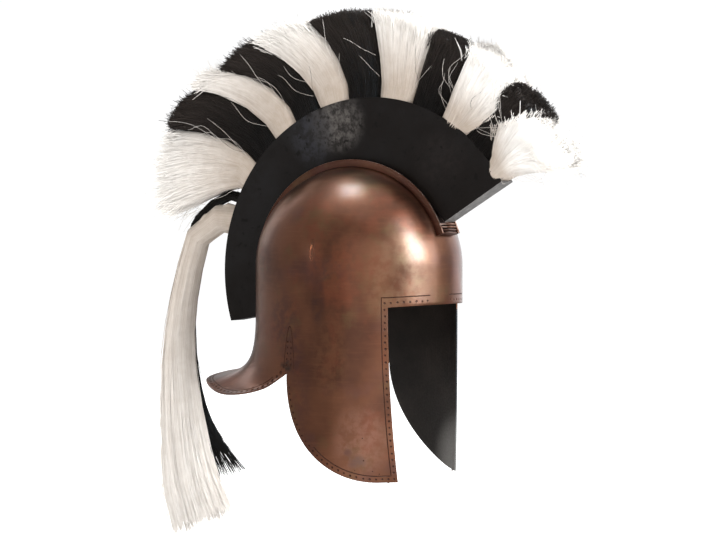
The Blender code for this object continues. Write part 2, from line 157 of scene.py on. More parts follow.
# How each tuft fans out: half its width from side to side at the ends, how far its front and rear
# sides reach, how uneven the ends are, how far they bulge in the middle, how much they frizz, how
# far the flanks spill over the tufts in front and behind, how much shorter the hairs are there, how
# far they droop, how many stray hairs stand out, how soon the hairs turn pale, and how mottled the
# ends are. How soon they turn pale also paints light and shade: sooner on the front tufts that the
# front lamps light, later on the rear ones.
TUFT_COLUMNS = ("fan", "front_reach", "rear_reach", "ragged", "bulge", "frizz", "over_front",
                "over_rear", "spill_cut", "droop", "strays", "pale", "mottle")
TUFT_ENDS = (
    (0.048, 1.12, 0.99, 0.020, 0.06, 0.45, 0.00, 1.65, 0.80, 0.000, 18, 1.5, 0.05),
    (0.028, 1.06, 1.02, 0.014, 0.06, 0.22, 0.00, 0.00, 0.00, 0.010, 2, 1.0, 0.45),
    (0.033, 0.98, 1.00, 0.026, 0.07, 0.45, 1.20, 0.06, 0.80, 0.000, 26, 1.4, 0.06),
    (0.021, 0.90, 0.99, 0.014, 0.05, 0.22, 0.00, 0.00, 0.00, 0.004, 2, 1.0, 0.45),
    (0.025, 1.00, 1.00, 0.026, 0.06, 0.30, 0.03, 0.05, 0.00, 0.000, 10, 0.95, 0.06),
    (0.024, 1.00, 1.00, 0.012, 0.06, 0.20, 0.02, 0.00, 0.00, 0.000, 2, 1.0, 0.45),
    (0.027, 1.00, 1.00, 0.034, 0.06, 0.34, 0.03, 0.45, 0.15, 0.000, 9, 0.95, 0.06),
    (0.024, 1.07, 1.00, 0.012, 0.03, 0.20, 0.00, 0.00, 0.00, 0.000, 2, 1.0, 0.45),
    (0.026, 1.00, 1.00, 0.034, 0.06, 0.32, 0.03, 0.14, 0.00, 0.000, 8, 0.85, 0.06),
    (0.024, 1.00, 1.00, 0.012, 0.06, 0.20, 0.02, 0.00, 0.00, 0.000, 2, 1.0, 0.45),
    (0.026, 1.00, 1.00, 0.036, 0.05, 0.30, 0.05, 0.10, 0.00, 0.010, 12, 0.95, 0.06),
)
TAIL_COLUMNS = ("forward", "up", "side", "half_depth", "half_side")
TAIL_BLACK_ANGLES = (-60.6, -64.4)
TAIL_BLACK = (
    (-0.182, -0.0285, 0.003, 0.0048, 0.0085),
    (-0.202, -0.0340, 0.009, 0.0045, 0.0075),
    (-0.224, -0.0440, 0.016, 0.0050, 0.0070),
    (-0.240, -0.0560, 0.021, 0.0065, 0.0075),
    (-0.250, -0.0740, 0.022, 0.0080, 0.0080),
    (-0.257, -0.110, 0.020, 0.0075, 0.0080),
    (-0.260, -0.155, 0.021, 0.0080, 0.0080),
    (-0.261, -0.205, 0.024, 0.0085, 0.0080),
    (-0.259, -0.250, 0.028, 0.0100, 0.0090),
    (-0.247, -0.303, 0.034, 0.0125, 0.0110),
    (-0.221, -0.360, 0.042, 0.0190, 0.0160),
)
TAIL_WHITE_ANGLES = (-64.9, -75.9)
TAIL_WHITE = (
    (-0.178, -0.051, -0.001, 0.0160, 0.0095),
    (-0.197, -0.058, -0.006, 0.0150, 0.0110),
    (-0.212, -0.069, -0.009, 0.0140, 0.0125),
    (-0.221, -0.084, -0.010, 0.0135, 0.0135),
    (-0.231, -0.117, -0.010, 0.0140, 0.0140),
    (-0.243, -0.168, -0.010, 0.0155, 0.0155),
    (-0.248, -0.218, -0.009, 0.0190, 0.0180),
    (-0.245, -0.264, -0.008, 0.0230, 0.0210),
    (-0.240, -0.310, -0.008, 0.0275, 0.0240),
    (-0.232, -0.356, -0.008, 0.0330, 0.0270),
    (-0.212, -0.404, -0.008, 0.0350, 0.0290),
)

# Sideways stretch of the brow whose border is rubbed smooth
WORN_BROW = (-0.029, -0.004)

# Small pits in the cheek guards, on the right side, -1, and on the left, 1
PIT_COLUMNS = ("side", "forward", "depth", "radius")
PITS = (
    (-1, 0.063, 0.283, 0.0007),
    (-1, 0.064, 0.306, 0.0009),
    (-1, 0.072, 0.317, 0.0007),
    (-1, 0.078, 0.320, 0.0007),
    (-1, 0.056, 0.316, 0.0005),
    (1, 0.052, 0.262, 0.0007),
    (1, 0.040, 0.290, 0.0008),
    (1, 0.068, 0.311, 0.0006),
)


# Sizes and colours


def size(name, description, default, low):
    return FloatProperty(name=name, description=description, default=default, min=low,
                         unit="LENGTH")


def colour(name, description, default):
    return FloatVectorProperty(name=name, description=description, default=default,
                               subtype="COLOR", min=0.0, max=1.0)


def amount(name, description, default, low=0.0):
    return FloatProperty(name=name, description=description, default=default, min=low)


def number(name, description, default, low=10):
    return IntProperty(name=name, description=description, default=default, min=low)


class SkullSettings(bpy.types.PropertyGroup):
    plate: size("Plate", "Thickness of the raised copper plate", 0.0015, 0.0005)
    brow_band: size("Brow band", "Height of the band along the brow's lower edge", 0.0100, 0.002)
    edge_band: size("Edge band", "Width of the band along the guards' edges", 0.0068, 0.002)
    rim_band: size("Rim band", "Width of the band along the neck guard's rim", 0.0120, 0.002)
    line_width: size("Line width", "Width of an engraved line", 0.0011, 0.0002)
    line_depth: size("Line depth", "Depth of an engraved line", 0.0004, 0.0001)
    dot_pitch: size("Dot pitch", "Distance between two punched dots", 0.0067, 0.002)
    dot_radius: size("Dot radius", "Radius of a punched dot", 0.0013, 0.0003)
    arch_height: size("Arch height", "Height of the pointed arch over each ear notch", 0.044, 0.01)
    arch_width: size("Arch width", "Width of the pointed arch at its foot", 0.0145, 0.002)


class MetalSettings(bpy.types.PropertyGroup):
    copper: colour("Copper", "Antiqued copper where it is worn bright", (0.215, 0.079, 0.037))
    copper_dark: colour("Dark copper", "Antiqued copper where the patina is thickest",
                        (0.115, 0.039, 0.019))
    lining: colour("Inside", "Black paint inside the skull", (0.0112, 0.0078, 0.0062))
    black_steel: colour("Black steel", "Paint of the crest box", (0.0056, 0.0040, 0.0033))
    bare_steel: colour("Bare steel", "Front end of the crest box", (0.185, 0.177, 0.17))


class HairSettings(bpy.types.PropertyGroup):
    tuft_hairs: number("Hairs in a tuft", "Long hairs on the outside of each short tuft", 1650)
    tuft_ends: number("Cut ends in a tuft", "Short hairs that make the cut end of each tuft", 1300)
    tail_black_hairs: number("Hairs in the black tail", "Hairs of the black tail", 430)
    tail_white_hairs: number("Hairs in the white tail", "Hairs of the white tail", 1150)
    radius: size("Hair radius", "Radius of a hair of the plume", 0.00034, 0.00005)
    white: colour("White hair", "Bleached hair at its ends", (0.95, 0.92, 0.88))
    # The roots' darker colour is the hair's warm tint together with painted shade near the box.
    white_root_and_shade: colour("White hair roots", "Bleached hair near the box", (0.44, 0.365, 0.30))
    black: colour("Black hair", "Dyed black hair", (0.0085, 0.0066, 0.0056))
    seed: number("Seed", "Start of the draws that place the hairs", 11, low=0)


class StageSettings(bpy.types.PropertyGroup):
    lens: amount("Lens", "Focal length of the camera in millimetres", 93.1, low=10.0)
    light: amount("Light", "Strength of all lamps together", 1.0)
    surround: amount("Surround", "Strength of the light from all round", 0.42)
    floor_glow: amount("Floor light", "Light of the lit floor", 0.72)


# Shapes shared by the pieces


def row(columns, values):
    return dict(zip(columns, values))


def spread(start, end, count):
    """count + 1 evenly spaced values."""
    return [start + (end - start) * i / count for i in range(count + 1)]


def smooth_between(rows, key, at, columns):
    """A column of a table at any value of its first column, by a cubic through the rows."""
    keys = [r[0] for r in rows]
    values = [r[columns.index(key)] for r in rows]
    slopes = []
    for i in range(len(rows)):
        low = max(i - 1, 0)
        high = min(i + 1, len(rows) - 1)
        slopes.append((values[high] - values[low]) / (keys[high] - keys[low]))
    i = max(k for k in range(len(rows) - 1) if keys[k] <= at or k == 0)
    span = keys[i + 1] - keys[i]
    t = min(max((at - keys[i]) / span, 0.0), 1.0)
    return (
        values[i] * (2 * t**3 - 3 * t**2 + 1)
        + values[i + 1] * (3 * t**2 - 2 * t**3)
        + slopes[i] * span * (t**3 - 2 * t**2 + t)
        + slopes[i + 1] * span * (t**3 - t**2)
    )


def bezier(points, t):
    points = list(points)
    while len(points) > 1:
        points = [a * (1.0 - t) + b * t for a, b in zip(points, points[1:])]
    return points[0]


def unit(lines):
    """The same directions with a length of 1."""
    return lines / np.maximum(np.linalg.norm(lines, axis=-1, keepdims=True), TINY)


def run_along(points):
    """How far along a line each of its points is."""
    steps = np.linalg.norm(np.diff(points, axis=0), axis=1)
    return np.concatenate([[0.0], np.cumsum(steps)])


def tube_quads(count, stations, sides):
    """The faces round count tubes, each of whose stations is a ring of points."""
    base = (np.arange(count) * stations * sides)[:, None, None]
    low = base + (np.arange(stations - 1) * sides)[None, :, None]
    corner = np.arange(sides)[None, None, :]
    after = (corner + 1) % sides
    quads = [low + corner, low + after, low + sides + after, low + sides + corner]
    return np.stack(quads, axis=3).reshape(-1, 4)


def plate():
    return bpy.context.scene.helmet_skull.plate


def middle_point(forward, depth, side=0.0):
    return Vector((side, -forward, plate() - depth))


def linked(name, data):
    """A new object in the scene with a mesh, lamp or camera for its data."""
    thing = bpy.data.objects.new(name, data)
    bpy.context.scene.collection.objects.link(thing)
    return thing


def built(name, form, materials):
    """A new object whose mesh is the form, which is used up."""
    mesh = bpy.data.meshes.new(name)
    form.to_mesh(mesh)
    form.free()
    for material in materials:
        mesh.materials.append(material)
    return linked(name, mesh)


def walled(thing, thickness, inside=0):
    """Gives an open skin a wall inwards, with another of its finishes inside."""
    wall = thing.modifiers.new("wall", "SOLIDIFY")
    wall.thickness = thickness
    wall.offset = -1.0
    wall.use_even_offset = True
    wall.material_offset = inside
    wall.material_offset_rim = 0


def bevelled(thing, width, segments, degrees):
    edge = thing.modifiers.new("edge", "BEVEL")
    edge.width = width
    edge.segments = segments
    edge.limit_method = "ANGLE"
    edge.angle_limit = math.radians(degrees)


def settled(thing):
    """Applies the object's modifiers."""
    depsgraph = bpy.context.evaluated_depsgraph_get()
    done = bpy.data.meshes.new_from_object(thing.evaluated_get(depsgraph), depsgraph=depsgraph)
    old = thing.data
    thing.modifiers.clear()
    thing.data = done
    bpy.data.meshes.remove(old)


def smooth_faces(mesh):
    mesh.shade_smooth()
    mesh.set_sharp_from_angle(angle=math.radians(SHARP_DEGREES))


def place(thing, node):
    """The piece stands for its CAD node and moves with the helmet."""
    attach(thing, BODY)
    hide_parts(node)


def skin_rows(form, rows):
    for upper, lower in zip(rows, rows[1:]):
        for i in range(len(upper) - 1):
            form.faces.new([upper[i], lower[i], lower[i + 1], upper[i + 1]])


def add_loft(form, rings, material=0):
    """A closed body through rings of points, capped at both ends."""
    made = [[form.verts.new(p) for p in ring] for ring in rings]
    faces = []
    for a, b in zip(made, made[1:]):
        for i in range(len(a)):
            j = (i + 1) % len(a)
            faces.append(form.faces.new([a[i], a[j], b[j], b[i]]))
    faces.append(form.faces.new(list(reversed(made[0]))))
    faces.append(form.faces.new(made[-1]))
    for face in faces:
        face.material_index = material


# Finishes


class Finish:
    """A material whose nodes are added with short calls."""

    def __init__(self, name, inputs):
        self.material = bpy.data.materials.new(name)
        self.material.use_nodes = True
        self.tree = self.material.node_tree
        self.shader = self.tree.nodes["Principled BSDF"]
        self.feed(self.shader, inputs)
        self.place = self.node("TexCoord").outputs["Object"]

    def feed(self, node, inputs):
        """Gives a node's inputs, by name or number, a value or another node's output."""
        for name, value in inputs.items():
            socket = node.inputs[name]
            if isinstance(value, bpy.types.NodeSocket):
                self.tree.links.new(value, socket)
            else:
                socket.default_value = (*value, 1.0) if socket.type == "RGBA" else value

    def node(self, kind, inputs=None, **settings):
        node = self.tree.nodes.new("ShaderNode" + kind)
        for name, value in settings.items():
            setattr(node, name, value)
        self.feed(node, inputs or {})
        return node

    def noise(self, scale, detail, rough, shift=0.0, stretch=(1.0, 1.0, 1.0)):
        moved = self.node("Mapping", {
            "Vector": self.place, "Scale": stretch, "Location": (shift, shift, shift),
        }).outputs["Vector"]
        return self.node("TexNoise", {
            "Vector": moved, "Scale": scale, "Detail": detail, "Roughness": rough,
        }).outputs["Fac"]

    def maths(self, kind, a, b, clamp=False):
        return self.node("Math", {0: a, 1: b}, operation=kind, use_clamp=clamp).outputs["Value"]

    def between(self, value, low, high, start=0.0, end=1.0):
        """value moved smoothly from low..high to start..end."""
        return self.node("MapRange", {
            "Value": value, "From Min": low, "From Max": high, "To Min": start, "To Max": end,
        }, interpolation_type="SMOOTHSTEP").outputs["Result"]

    def blend(self, share, first, second):
        """A colour between two others, each a colour or a socket."""
        node = self.node("Mix", data_type="RGBA")
        inputs = [i for i, socket in enumerate(node.inputs) if socket.enabled]
        self.feed(node, dict(zip(inputs, (share, first, second))))
        return next(socket for socket in node.outputs if socket.enabled)

    def tint(self, base, noise, low, high, strength, colour):
        """A colour with another over it where a noise is high."""
        return self.blend(self.between(self.noise(*noise), low, high, 0.0, strength), base, colour)

    def mark(self, base, patch, mottle, span, colour):
        """A colour with another over it in a patch, broken up by mottle."""
        share = self.maths("MULTIPLY", patch, self.between(mottle, *span))
        return self.blend(share, base, colour)

    def patch(self, centre, radii, near_only=False):
        """1 in the middle of a round patch of the side view, 0 at its edge: y, z and radii."""
        parts = self.node("SeparateXYZ", {0: self.place}).outputs
        squares = []
        for socket, middle, radius in zip((parts["Y"], parts["Z"]), centre, radii):
            off = self.maths("DIVIDE", self.maths("SUBTRACT", socket, middle), radius)
            squares.append(self.maths("MULTIPLY", off, off))
        inside = self.between(self.maths("ADD", *squares), 0.0, 1.0, 1.0, 0.0)
        if near_only:
            inside = self.maths("MULTIPLY", inside, self.maths("LESS_THAN", parts["X"], 0.0))
        return inside

    def painted(self, share, first, second):
        """The material, with a colour between two others."""
        self.feed(self.shader, {"Base Color": self.blend(share, first, second)})
        return self.material

    def surface(self, height, strength, distance=0.0004, roughness=None):
        """Gives the material a fine relief and a changing roughness."""
        node = self.node("Bump", {"Strength": strength, "Distance": distance, "Height": height})
        self.feed(self.shader, {"Normal": node.outputs["Normal"]})
        if roughness:
            self.feed(self.shader, {"Roughness": roughness})


def shaded(colour, share):
    return tuple(min(1.0, c * share) for c in colour)


# Patches of other colour on the right side of the skull, lighter or darker than the copper round
# them: middle (y, z), radii, strength and colour. The lighter one low on the cheek guard is a
# painted reflection of the floor's light.
MARK_COLUMNS = ("middle", "radii", "strength", "colour")
SKULL_PATCHES_AND_PAINTED_LIGHT = (
    ((-0.034, -0.109), (0.036, 0.050), 0.55, (0.270, 0.078, 0.034)),
    ((-0.010, -0.085), (0.012, 0.034), 0.45, (0.240, 0.066, 0.030)),
    ((-0.016, -0.140), (0.010, 0.036), 0.65, (0.062, 0.026, 0.022)),
    ((0.030, -0.165), (0.030, 0.045), 0.60, (0.095, 0.037, 0.030)),
    ((0.016, -0.196), (0.020, 0.034), 0.55, (0.085, 0.030, 0.026)),
    # painted reflection: a lighter, pinker copper low on the cheek guard, where it catches the
    # floor's light
    ((-0.060, -0.285), (0.030, 0.045), 0.60, (0.330, 0.150, 0.098)),
    ((-0.030, -0.200), (0.026, 0.060), 0.40, (0.270, 0.110, 0.050)),
    ((0.004, -0.245), (0.018, 0.060), 0.50, (0.105, 0.040, 0.030)),
    ((0.0245, -0.210), (0.011, 0.007), 0.85, (0.030, 0.019, 0.012)),
    ((-0.058, -0.306), (0.010, 0.010), 0.60, (0.110, 0.066, 0.056)),
    ((-0.050, -0.297), (0.005, 0.006), 0.60, (0.110, 0.040, 0.036)),
    ((-0.090, -0.120), (0.030, 0.060), 0.45, (0.300, 0.150, 0.080)),
)

# Tints all over the copper: a noise's scale, detail, roughness and shift, the span of it over which
# the tint comes in, its strength and its colour
TINT_COLUMNS = ("noise", "low", "high", "strength", "colour")
COPPER_TINTS = (
    ((24.0, 5.0, 0.6, 3.1), 0.50, 0.68, 0.75, (0.225, 0.064, 0.030)),
    ((30.0, 5.0, 0.6, 7.7), 0.52, 0.70, 0.65, (0.165, 0.086, 0.036)),
    ((17.0, 4.0, 0.5, 5.3), 0.54, 0.74, 0.55, (0.130, 0.054, 0.046)),
)
# Worn and stained patches of the crest box: middle (y, z), radii and colour
BOX_PATCHES = (
    ((0.022, 0.048), (0.044, 0.038), (0.088, 0.079, 0.072)),
    ((0.054, 0.036), (0.034, 0.042), (0.022, 0.022, 0.026)),
    ((-0.112, 0.006), (0.040, 0.034), (0.0120, 0.0090, 0.0080)),
    ((0.130, -0.020), (0.040, 0.050), (0.0090, 0.0080, 0.0080)),
)


def copper_finish(name="antique_copper", dark_share=0.5, tarnish_and_shade=0.0):
    metal = bpy.context.scene.helmet_metal
    finish = Finish(name, {"Metallic": 1.0, "Coat Weight": 0.45, "Coat Roughness": 0.24})
    broad = finish.noise(11.0, 4.0, 0.55)
    base = finish.blend(finish.between(broad, dark_share - 0.15, dark_share + 0.15),
                        metal.copper_dark, metal.copper)
    for values in COPPER_TINTS:
        base = finish.tint(base, **row(TINT_COLUMNS, values))
    rough = finish.between(finish.noise(55.0, 3.0, 0.5, 4.0), 0.30, 0.70, 0.29, 0.39)
    # The channel is darkened all over: its own tarnish, and painted shade on its sides.
    if tarnish_and_shade:
        base = finish.blend(tarnish_and_shade, base, (0.062, 0.018, 0.011))
    else:
        mottle = finish.noise(95.0, 4.0, 0.62, 2.6)
        for values in SKULL_PATCHES_AND_PAINTED_LIGHT:
            mark = row(MARK_COLUMNS, values)
            patch = finish.patch(mark["middle"], mark["radii"], near_only=True)
            span = (0.36, 0.62, 0.15 * mark["strength"], mark["strength"])
            base = finish.mark(base, patch, mottle, span, mark["colour"])
        # painted reflection: the neck guard's top gets a lighter, pinker copper where it catches
        # the light from above and behind
        neck = finish.maths("MULTIPLY", finish.patch((0.125, -0.238), (0.090, 0.040)), 0.30)
        base = finish.blend(neck, base, (0.255, 0.108, 0.074))
        burnished = finish.patch((-0.0075, -0.088), (0.0028, 0.015), near_only=True)
        rough = finish.maths("SUBTRACT", rough, finish.maths("MULTIPLY", burnished, 0.26))
    streaks = finish.noise(46.0, 3.0, 0.5, stretch=(1.0, 1.0, 0.16))
    grain = finish.maths("ADD", finish.maths("MULTIPLY", streaks, 0.7),
                         finish.maths("MULTIPLY", finish.noise(380.0, 1.0, 0.5), 0.3))
    finish.surface(grain, 0.18, 0.0005, rough)
    brushed = finish.noise(330.0, 3.0, 0.6, stretch=(0.10, 0.10, 1.0))
    return finish.painted(finish.between(brushed, 0.50, 0.72, 0.0, 0.14), base,
                          shaded(metal.copper, 1.5))


def lip_highlight_finish():
    """The channel's upper edge, painted lighter as its highlight."""
    finish = Finish("lip_painted_highlight", {"Roughness": 0.38, "Metallic": 1.0})
    mottle = finish.between(finish.noise(120.0, 3.0, 0.6), 0.35, 0.65)
    return finish.painted(mottle, shaded(bpy.context.scene.helmet_metal.copper, 1.1),
                          (0.560, 0.340, 0.260))


def groove_finish():
    dark = bpy.context.scene.helmet_metal.copper_dark
    finish = Finish("dark_patina", {"Roughness": 0.55, "Metallic": 0.8})
    return finish.painted(finish.noise(160.0, 3.0, 0.5), shaded(dark, 0.25), shaded(dark, 0.8))


def lining_finish():
    lining = bpy.context.scene.helmet_metal.lining
    finish = Finish("black_paint_inside", {"Specular IOR Level": 0.3})
    cloud = finish.between(finish.noise(14.0, 4.0, 0.6), 0.35, 0.7)
    paint = finish.blend(cloud, lining, shaded(lining, 1.8))
    grain = finish.noise(480.0, 3.0, 0.6)
    finish.surface(grain, 0.3, roughness=finish.between(grain, 0.3, 0.7, 0.42, 0.60))
    # painted reflection: the lower front of the inside of the cheek guards is painted a lighter
    # grey where it catches the light from below and in front
    painted_reflection = finish.maths("MULTIPLY", finish.patch((-0.090, -0.318), (0.055, 0.060)), 0.9)
    return finish.painted(painted_reflection, paint, (0.130, 0.122, 0.112))


def box_finish():
    steel = bpy.context.scene.helmet_metal.black_steel
    finish = Finish("black_steel", {"Specular IOR Level": 0.15})
    cloud = finish.between(finish.noise(16.0, 5.0, 0.6), 0.35, 0.75)
    base = finish.blend(cloud, steel, (0.0095, 0.0085, 0.0085))
    blotch = finish.noise(150.0, 6.0, 0.7, 2.0)
    for middle, radii, worn in BOX_PATCHES:
        base = finish.mark(base, finish.patch(middle, radii), blotch, (0.38, 0.66, 0.10, 0.95),
                           worn)
    finish.surface(finish.noise(420.0, 3.0, 0.6), 0.25,
                   roughness=finish.between(blotch, 0.3, 0.7, 0.36, 0.52))
    pits = finish.between(finish.noise(150.0, 2.0, 0.5, 9.0), 0.64, 0.72, 0.0, 0.9)
    return finish.painted(pits, base, shaded(steel, 0.5))


def plate_finish():
    steel = bpy.context.scene.helmet_metal.bare_steel
    finish = Finish("bare_steel", {"Metallic": 0.3})
    mottle = finish.noise(190.0, 4.0, 0.7)
    base = finish.blend(finish.between(mottle, 0.35, 0.7), shaded(steel, 0.70), steel)
    finish.surface(mottle, 0.2)
    stain = finish.between(finish.noise(42.0, 5.0, 0.65, 6.0), 0.48, 0.66, 0.0, 0.7)
    return finish.painted(stain, base, shaded(steel, 0.50))


def hair_finish(name, root, tip, roughness, specular):
    """Hair whose colour changes from its root to its tip, from strand to strand and a little
    along each.
    """
    # The darker roots are the hair's own tint together with painted shade near the box.
    finish = Finish(name, {"Roughness": roughness, "Specular IOR Level": specular})
    shade = finish.node("Attribute", attribute_name="shade").outputs["Fac"]
    run = finish.between(finish.noise(90.0, 3.0, 0.6), 0.3, 0.7, -0.05, 0.05)
    return finish.painted(finish.maths("ADD", shade, run, clamp=True), root, tip)


def hair_finishes(kind, black_tip):
    """White and black hair, named with a kind, the black this many times as bright at its tips."""
    hair = bpy.context.scene.helmet_hair
    return {
        "white": hair_finish("white" + kind, hair.white_root_and_shade, hair.white, 0.6, 0.2),
        "black": hair_finish("black" + kind, shaded(hair.black, 0.5),
                             shaded(hair.black, black_tip), 0.45, 0.16),
    }


# Skull with its guards


def skull_scale(depth):
    if depth >= DOME_HEIGHT:
        return 1.0
    return math.sqrt(1.0 - (1.0 - depth / DOME_HEIGHT) ** 2)


def angle_at(forward):
    return math.acos(forward / SKULL_HALF_LENGTH)


FRONT_ANGLE = angle_at(CHEEK_FRONT)
NOTCH_ANGLE = angle_at(NOTCH)


def skull_point(angle, depth, out=0.0):
    """A point on the skull's outer skin, or standing out from it squarely in plan."""
    scale = skull_scale(depth)
    forward = SKULL_HALF_LENGTH * scale * math.cos(angle)
    side = SKULL_HALF_WIDTH * scale * math.sin(angle)
    square = Vector((math.sin(angle) / SKULL_HALF_WIDTH, math.cos(angle) / SKULL_HALF_LENGTH))
    square.normalize()
    return middle_point(forward + out * square.y, depth, side + out * square.x)


def drop_squared(depth):
    """0 down to the brow, and 1 at the cheek guards' tips."""
    return max(0.0, (depth - BROW_DEPTH) / (TIP_DEPTH - BROW_DEPTH)) ** 2


def cheek_out(angle, depth):
    share = min(1.0, max(0.0, (angle - FRONT_ANGLE) / (NOTCH_ANGLE - FRONT_ANGLE)))
    return drop_squared(depth) * (share * CHEEK_FLARE - (1.0 - share) * TIP_TUCK)


def cheek_front(depth):
    return CHEEK_FRONT + (CHEEK_TIP - CHEEK_FRONT) * drop_squared(depth)


def cheek_edge(turn):
    power = 2.0 / CHEEK_ROUNDNESS
    quarter = turn * math.pi / 2
    forward = CHEEK_BOTTOM - (CHEEK_BOTTOM - NOTCH) * max(0.0, math.cos(quarter)) ** power
    depth = NOTCH_DEPTH + (TIP_DEPTH - NOTCH_DEPTH) * math.sin(quarter) ** power
    return forward, depth


def brow_edge(angle):
    share = min(1.0, angle / FRONT_ANGLE)
    return BROW_DEPTH - BROW_LIFT * (1.0 - share**2)


def neck_curve(angle, t):
    degrees = math.degrees(angle)
    flare = smooth_between(NECK_RIM, "flare", degrees, RIM_COLUMNS)
    rim = smooth_between(NECK_RIM, "depth", degrees, RIM_COLUMNS)
    droop = NECK_DROOP * flare / NECK_RIM[-1][1]
    out = bezier((0.0, 0.0, 0.0, NECK_TURN * flare, flare), t)
    depth = bezier((BROW_DEPTH, NECK_WALL, NECK_WAIST, rim - droop, rim), t)
    return out, depth


def neck_point(angle, t):
    out, depth = neck_curve(angle, t)
    return skull_point(angle, depth, out + cheek_out(NOTCH_ANGLE, depth))


def cheek_point(angle, depth):
    return skull_point(angle, depth, cheek_out(angle, depth))


def skull_skin():
    """One side of the skull and its guards as an open skin."""
    form = bmesh.new()
    angles = spread(0.0, FRONT_ANGLE, BROW_COLUMNS)
    angles += spread(FRONT_ANGLE, NOTCH_ANGLE, CHEEK_COLUMNS)[1:]
    angles += spread(NOTCH_ANGLE, math.pi, NECK_COLUMNS)[1:]
    rows = []
    for i in range(1, DOME_ROWS + 1):
        depth = DOME_HEIGHT * (1.0 - math.cos(math.pi / 2 * i / DOME_ROWS))
        rows.append([form.verts.new(skull_point(a, depth)) for a in angles])
    for i in range(1, BELT_ROWS + 1):
        share = i / BELT_ROWS
        rows.append([
            form.verts.new(skull_point(a, DOME_HEIGHT + share * (brow_edge(a) - DOME_HEIGHT)))
            for a in angles
        ])
    pole = form.verts.new(middle_point(0.0, 0.0))
    for i in range(len(angles) - 1):
        form.faces.new([pole, rows[0][i], rows[0][i + 1]])
    skin_rows(form, rows)

    belt = rows[-1]
    cheek = [belt[BROW_COLUMNS : BROW_COLUMNS + CHEEK_COLUMNS + 1]]
    ends = [(neck_curve(NOTCH_ANGLE, t)[1], NOTCH_ANGLE)
            for t in spread(0.0, 1.0, NECK_ROWS)[1:]]
    for turn in spread(0.0, 1.0, CHEEK_ROWS)[1:]:
        forward, depth = cheek_edge(turn)
        ends.append((depth, angle_at(forward)))
    for depth, rear in ends:
        across = spread(angle_at(cheek_front(depth)), rear, CHEEK_COLUMNS)
        cheek.append([form.verts.new(cheek_point(a, depth)) for a in across])
    skin_rows(form, cheek)

    neck_angles = angles[BROW_COLUMNS + CHEEK_COLUMNS :]
    neck = [belt[BROW_COLUMNS + CHEEK_COLUMNS :]]
    for i in range(1, NECK_ROWS + 1):
        line = [cheek[i][-1]]
        line += [form.verts.new(neck_point(a, i / NECK_ROWS)) for a in neck_angles[1:]]
        neck.append(line)
    skin_rows(form, neck)
    for vert in form.verts:
        if abs(vert.co.x) < ON_MIDDLE:
            vert.co.x = 0.0
    return form


def round_table():
    """Angles round the skull with the distance along its widest level that each lies at."""
    angles = np.linspace(0.0, math.pi, 721)
    forward = SKULL_HALF_LENGTH * np.cos(angles)
    side = SKULL_HALF_WIDTH * np.sin(angles)
    steps = np.hypot(np.diff(forward), np.diff(side))
    return angles, np.concatenate([[0.0], np.cumsum(steps)])


def even(points, pitch):
    """Points at an even distance along a line of flat or solid points."""
    points = np.array([tuple(p) for p in points], float)
    run = run_along(points)
    count = max(1, int(round(run[-1] / pitch)))
    at = np.linspace(0.0, run[-1], count + 1)
    return np.stack([np.interp(at, run, points[:, k]) for k in range(points.shape[1])], axis=1)


def inset(points, distance):
    """A flat line moved to its left by a distance."""
    points = np.asarray(points, float)
    along = unit(np.gradient(points, axis=0))
    return points + np.stack([-along[:, 1], along[:, 0]], axis=1) * distance


# How many steps make each stretch of the borders, and the pitch of the lower one
BROW_STEPS = 30
FRONT_STEPS = 60
LOWER_STEPS = 80
LOWER_PITCH = 0.0015
RIM_STEPS = 40
# How far down the neck guard, as a share of it, its band's upper edge is looked for
RIM_REACH = 0.6
# How much narrower the neck guard's band is at the middle of the rear
RIM_TAPER = 0.55


class Borders:
    """The lines and dots along the helmet's edges, on its right side, as points of its skin."""

    def __init__(self):
        self.angles, self.runs = round_table()

    def run(self, angle):
        return float(np.interp(angle, self.angles, self.runs))

    def angle(self, run):
        return float(np.interp(run, self.runs, self.angles))

    def skin(self, flat):
        """A flat (run, depth) point on the skull or the cheek guard."""
        return cheek_point(self.angle(flat[0]), flat[1])

    def front_edge(self, depth):
        return self.run(angle_at(cheek_front(depth)))

    def opening(self, brow, side, foot):
        """Along the brow and down the cheek guard's front, set in by brow and by side."""
        line = []
        for run in spread(0.0, self.front_edge(BROW_DEPTH) + side, BROW_STEPS):
            line.append((run, brow_edge(min(self.angle(run), FRONT_ANGLE)) - brow))
        for depth in spread(line[-1][1], TIP_DEPTH - foot, FRONT_STEPS)[1:]:
            line.append((self.front_edge(depth) + side, depth))
        return line

    def lower(self, distance, start, stop):
        """From the tip along the cheek guard's lower and rear edge, set in by a distance."""
        edge = [(self.front_edge(TIP_DEPTH), TIP_DEPTH)]
        for turn in spread(1.0, stop, LOWER_STEPS):
            forward, depth = cheek_edge(turn)
            edge.append((self.run(angle_at(forward)), depth))
        line = inset(even(edge, LOWER_PITCH), -distance)
        return [tuple(p) for p in line if p[0] > self.front_edge(TIP_DEPTH) + start]

    def rim(self, distance, first_degrees):
        """Along the neck guard's rim to the middle of the rear, set in along its surface."""
        points = []
        for angle in spread(math.radians(first_degrees), math.pi, RIM_STEPS):
            steps = spread(1.0, RIM_REACH, RIM_STEPS)
            path = [neck_point(angle, t) for t in steps]
            gone = np.cumsum([0.0] + [(b - a).length for a, b in zip(path, path[1:])])
            share = len(points) / (RIM_STEPS - 1)
            narrow = 1.0 - RIM_TAPER * share * share * (3.0 - 2.0 * share)
            t = float(np.interp(distance * narrow, gone, steps))
            points.append(neck_point(angle, t))
        return points


def mirrored(points):
    """A line that starts on the helmet's middle, or ends there, with its other side added."""
    other = [other_side(p) for p in points]
    if abs(points[0][0]) < abs(points[-1][0]):
        return other[:0:-1] + [Vector(p) for p in points]
    return [Vector(p) for p in points] + other[-2::-1]


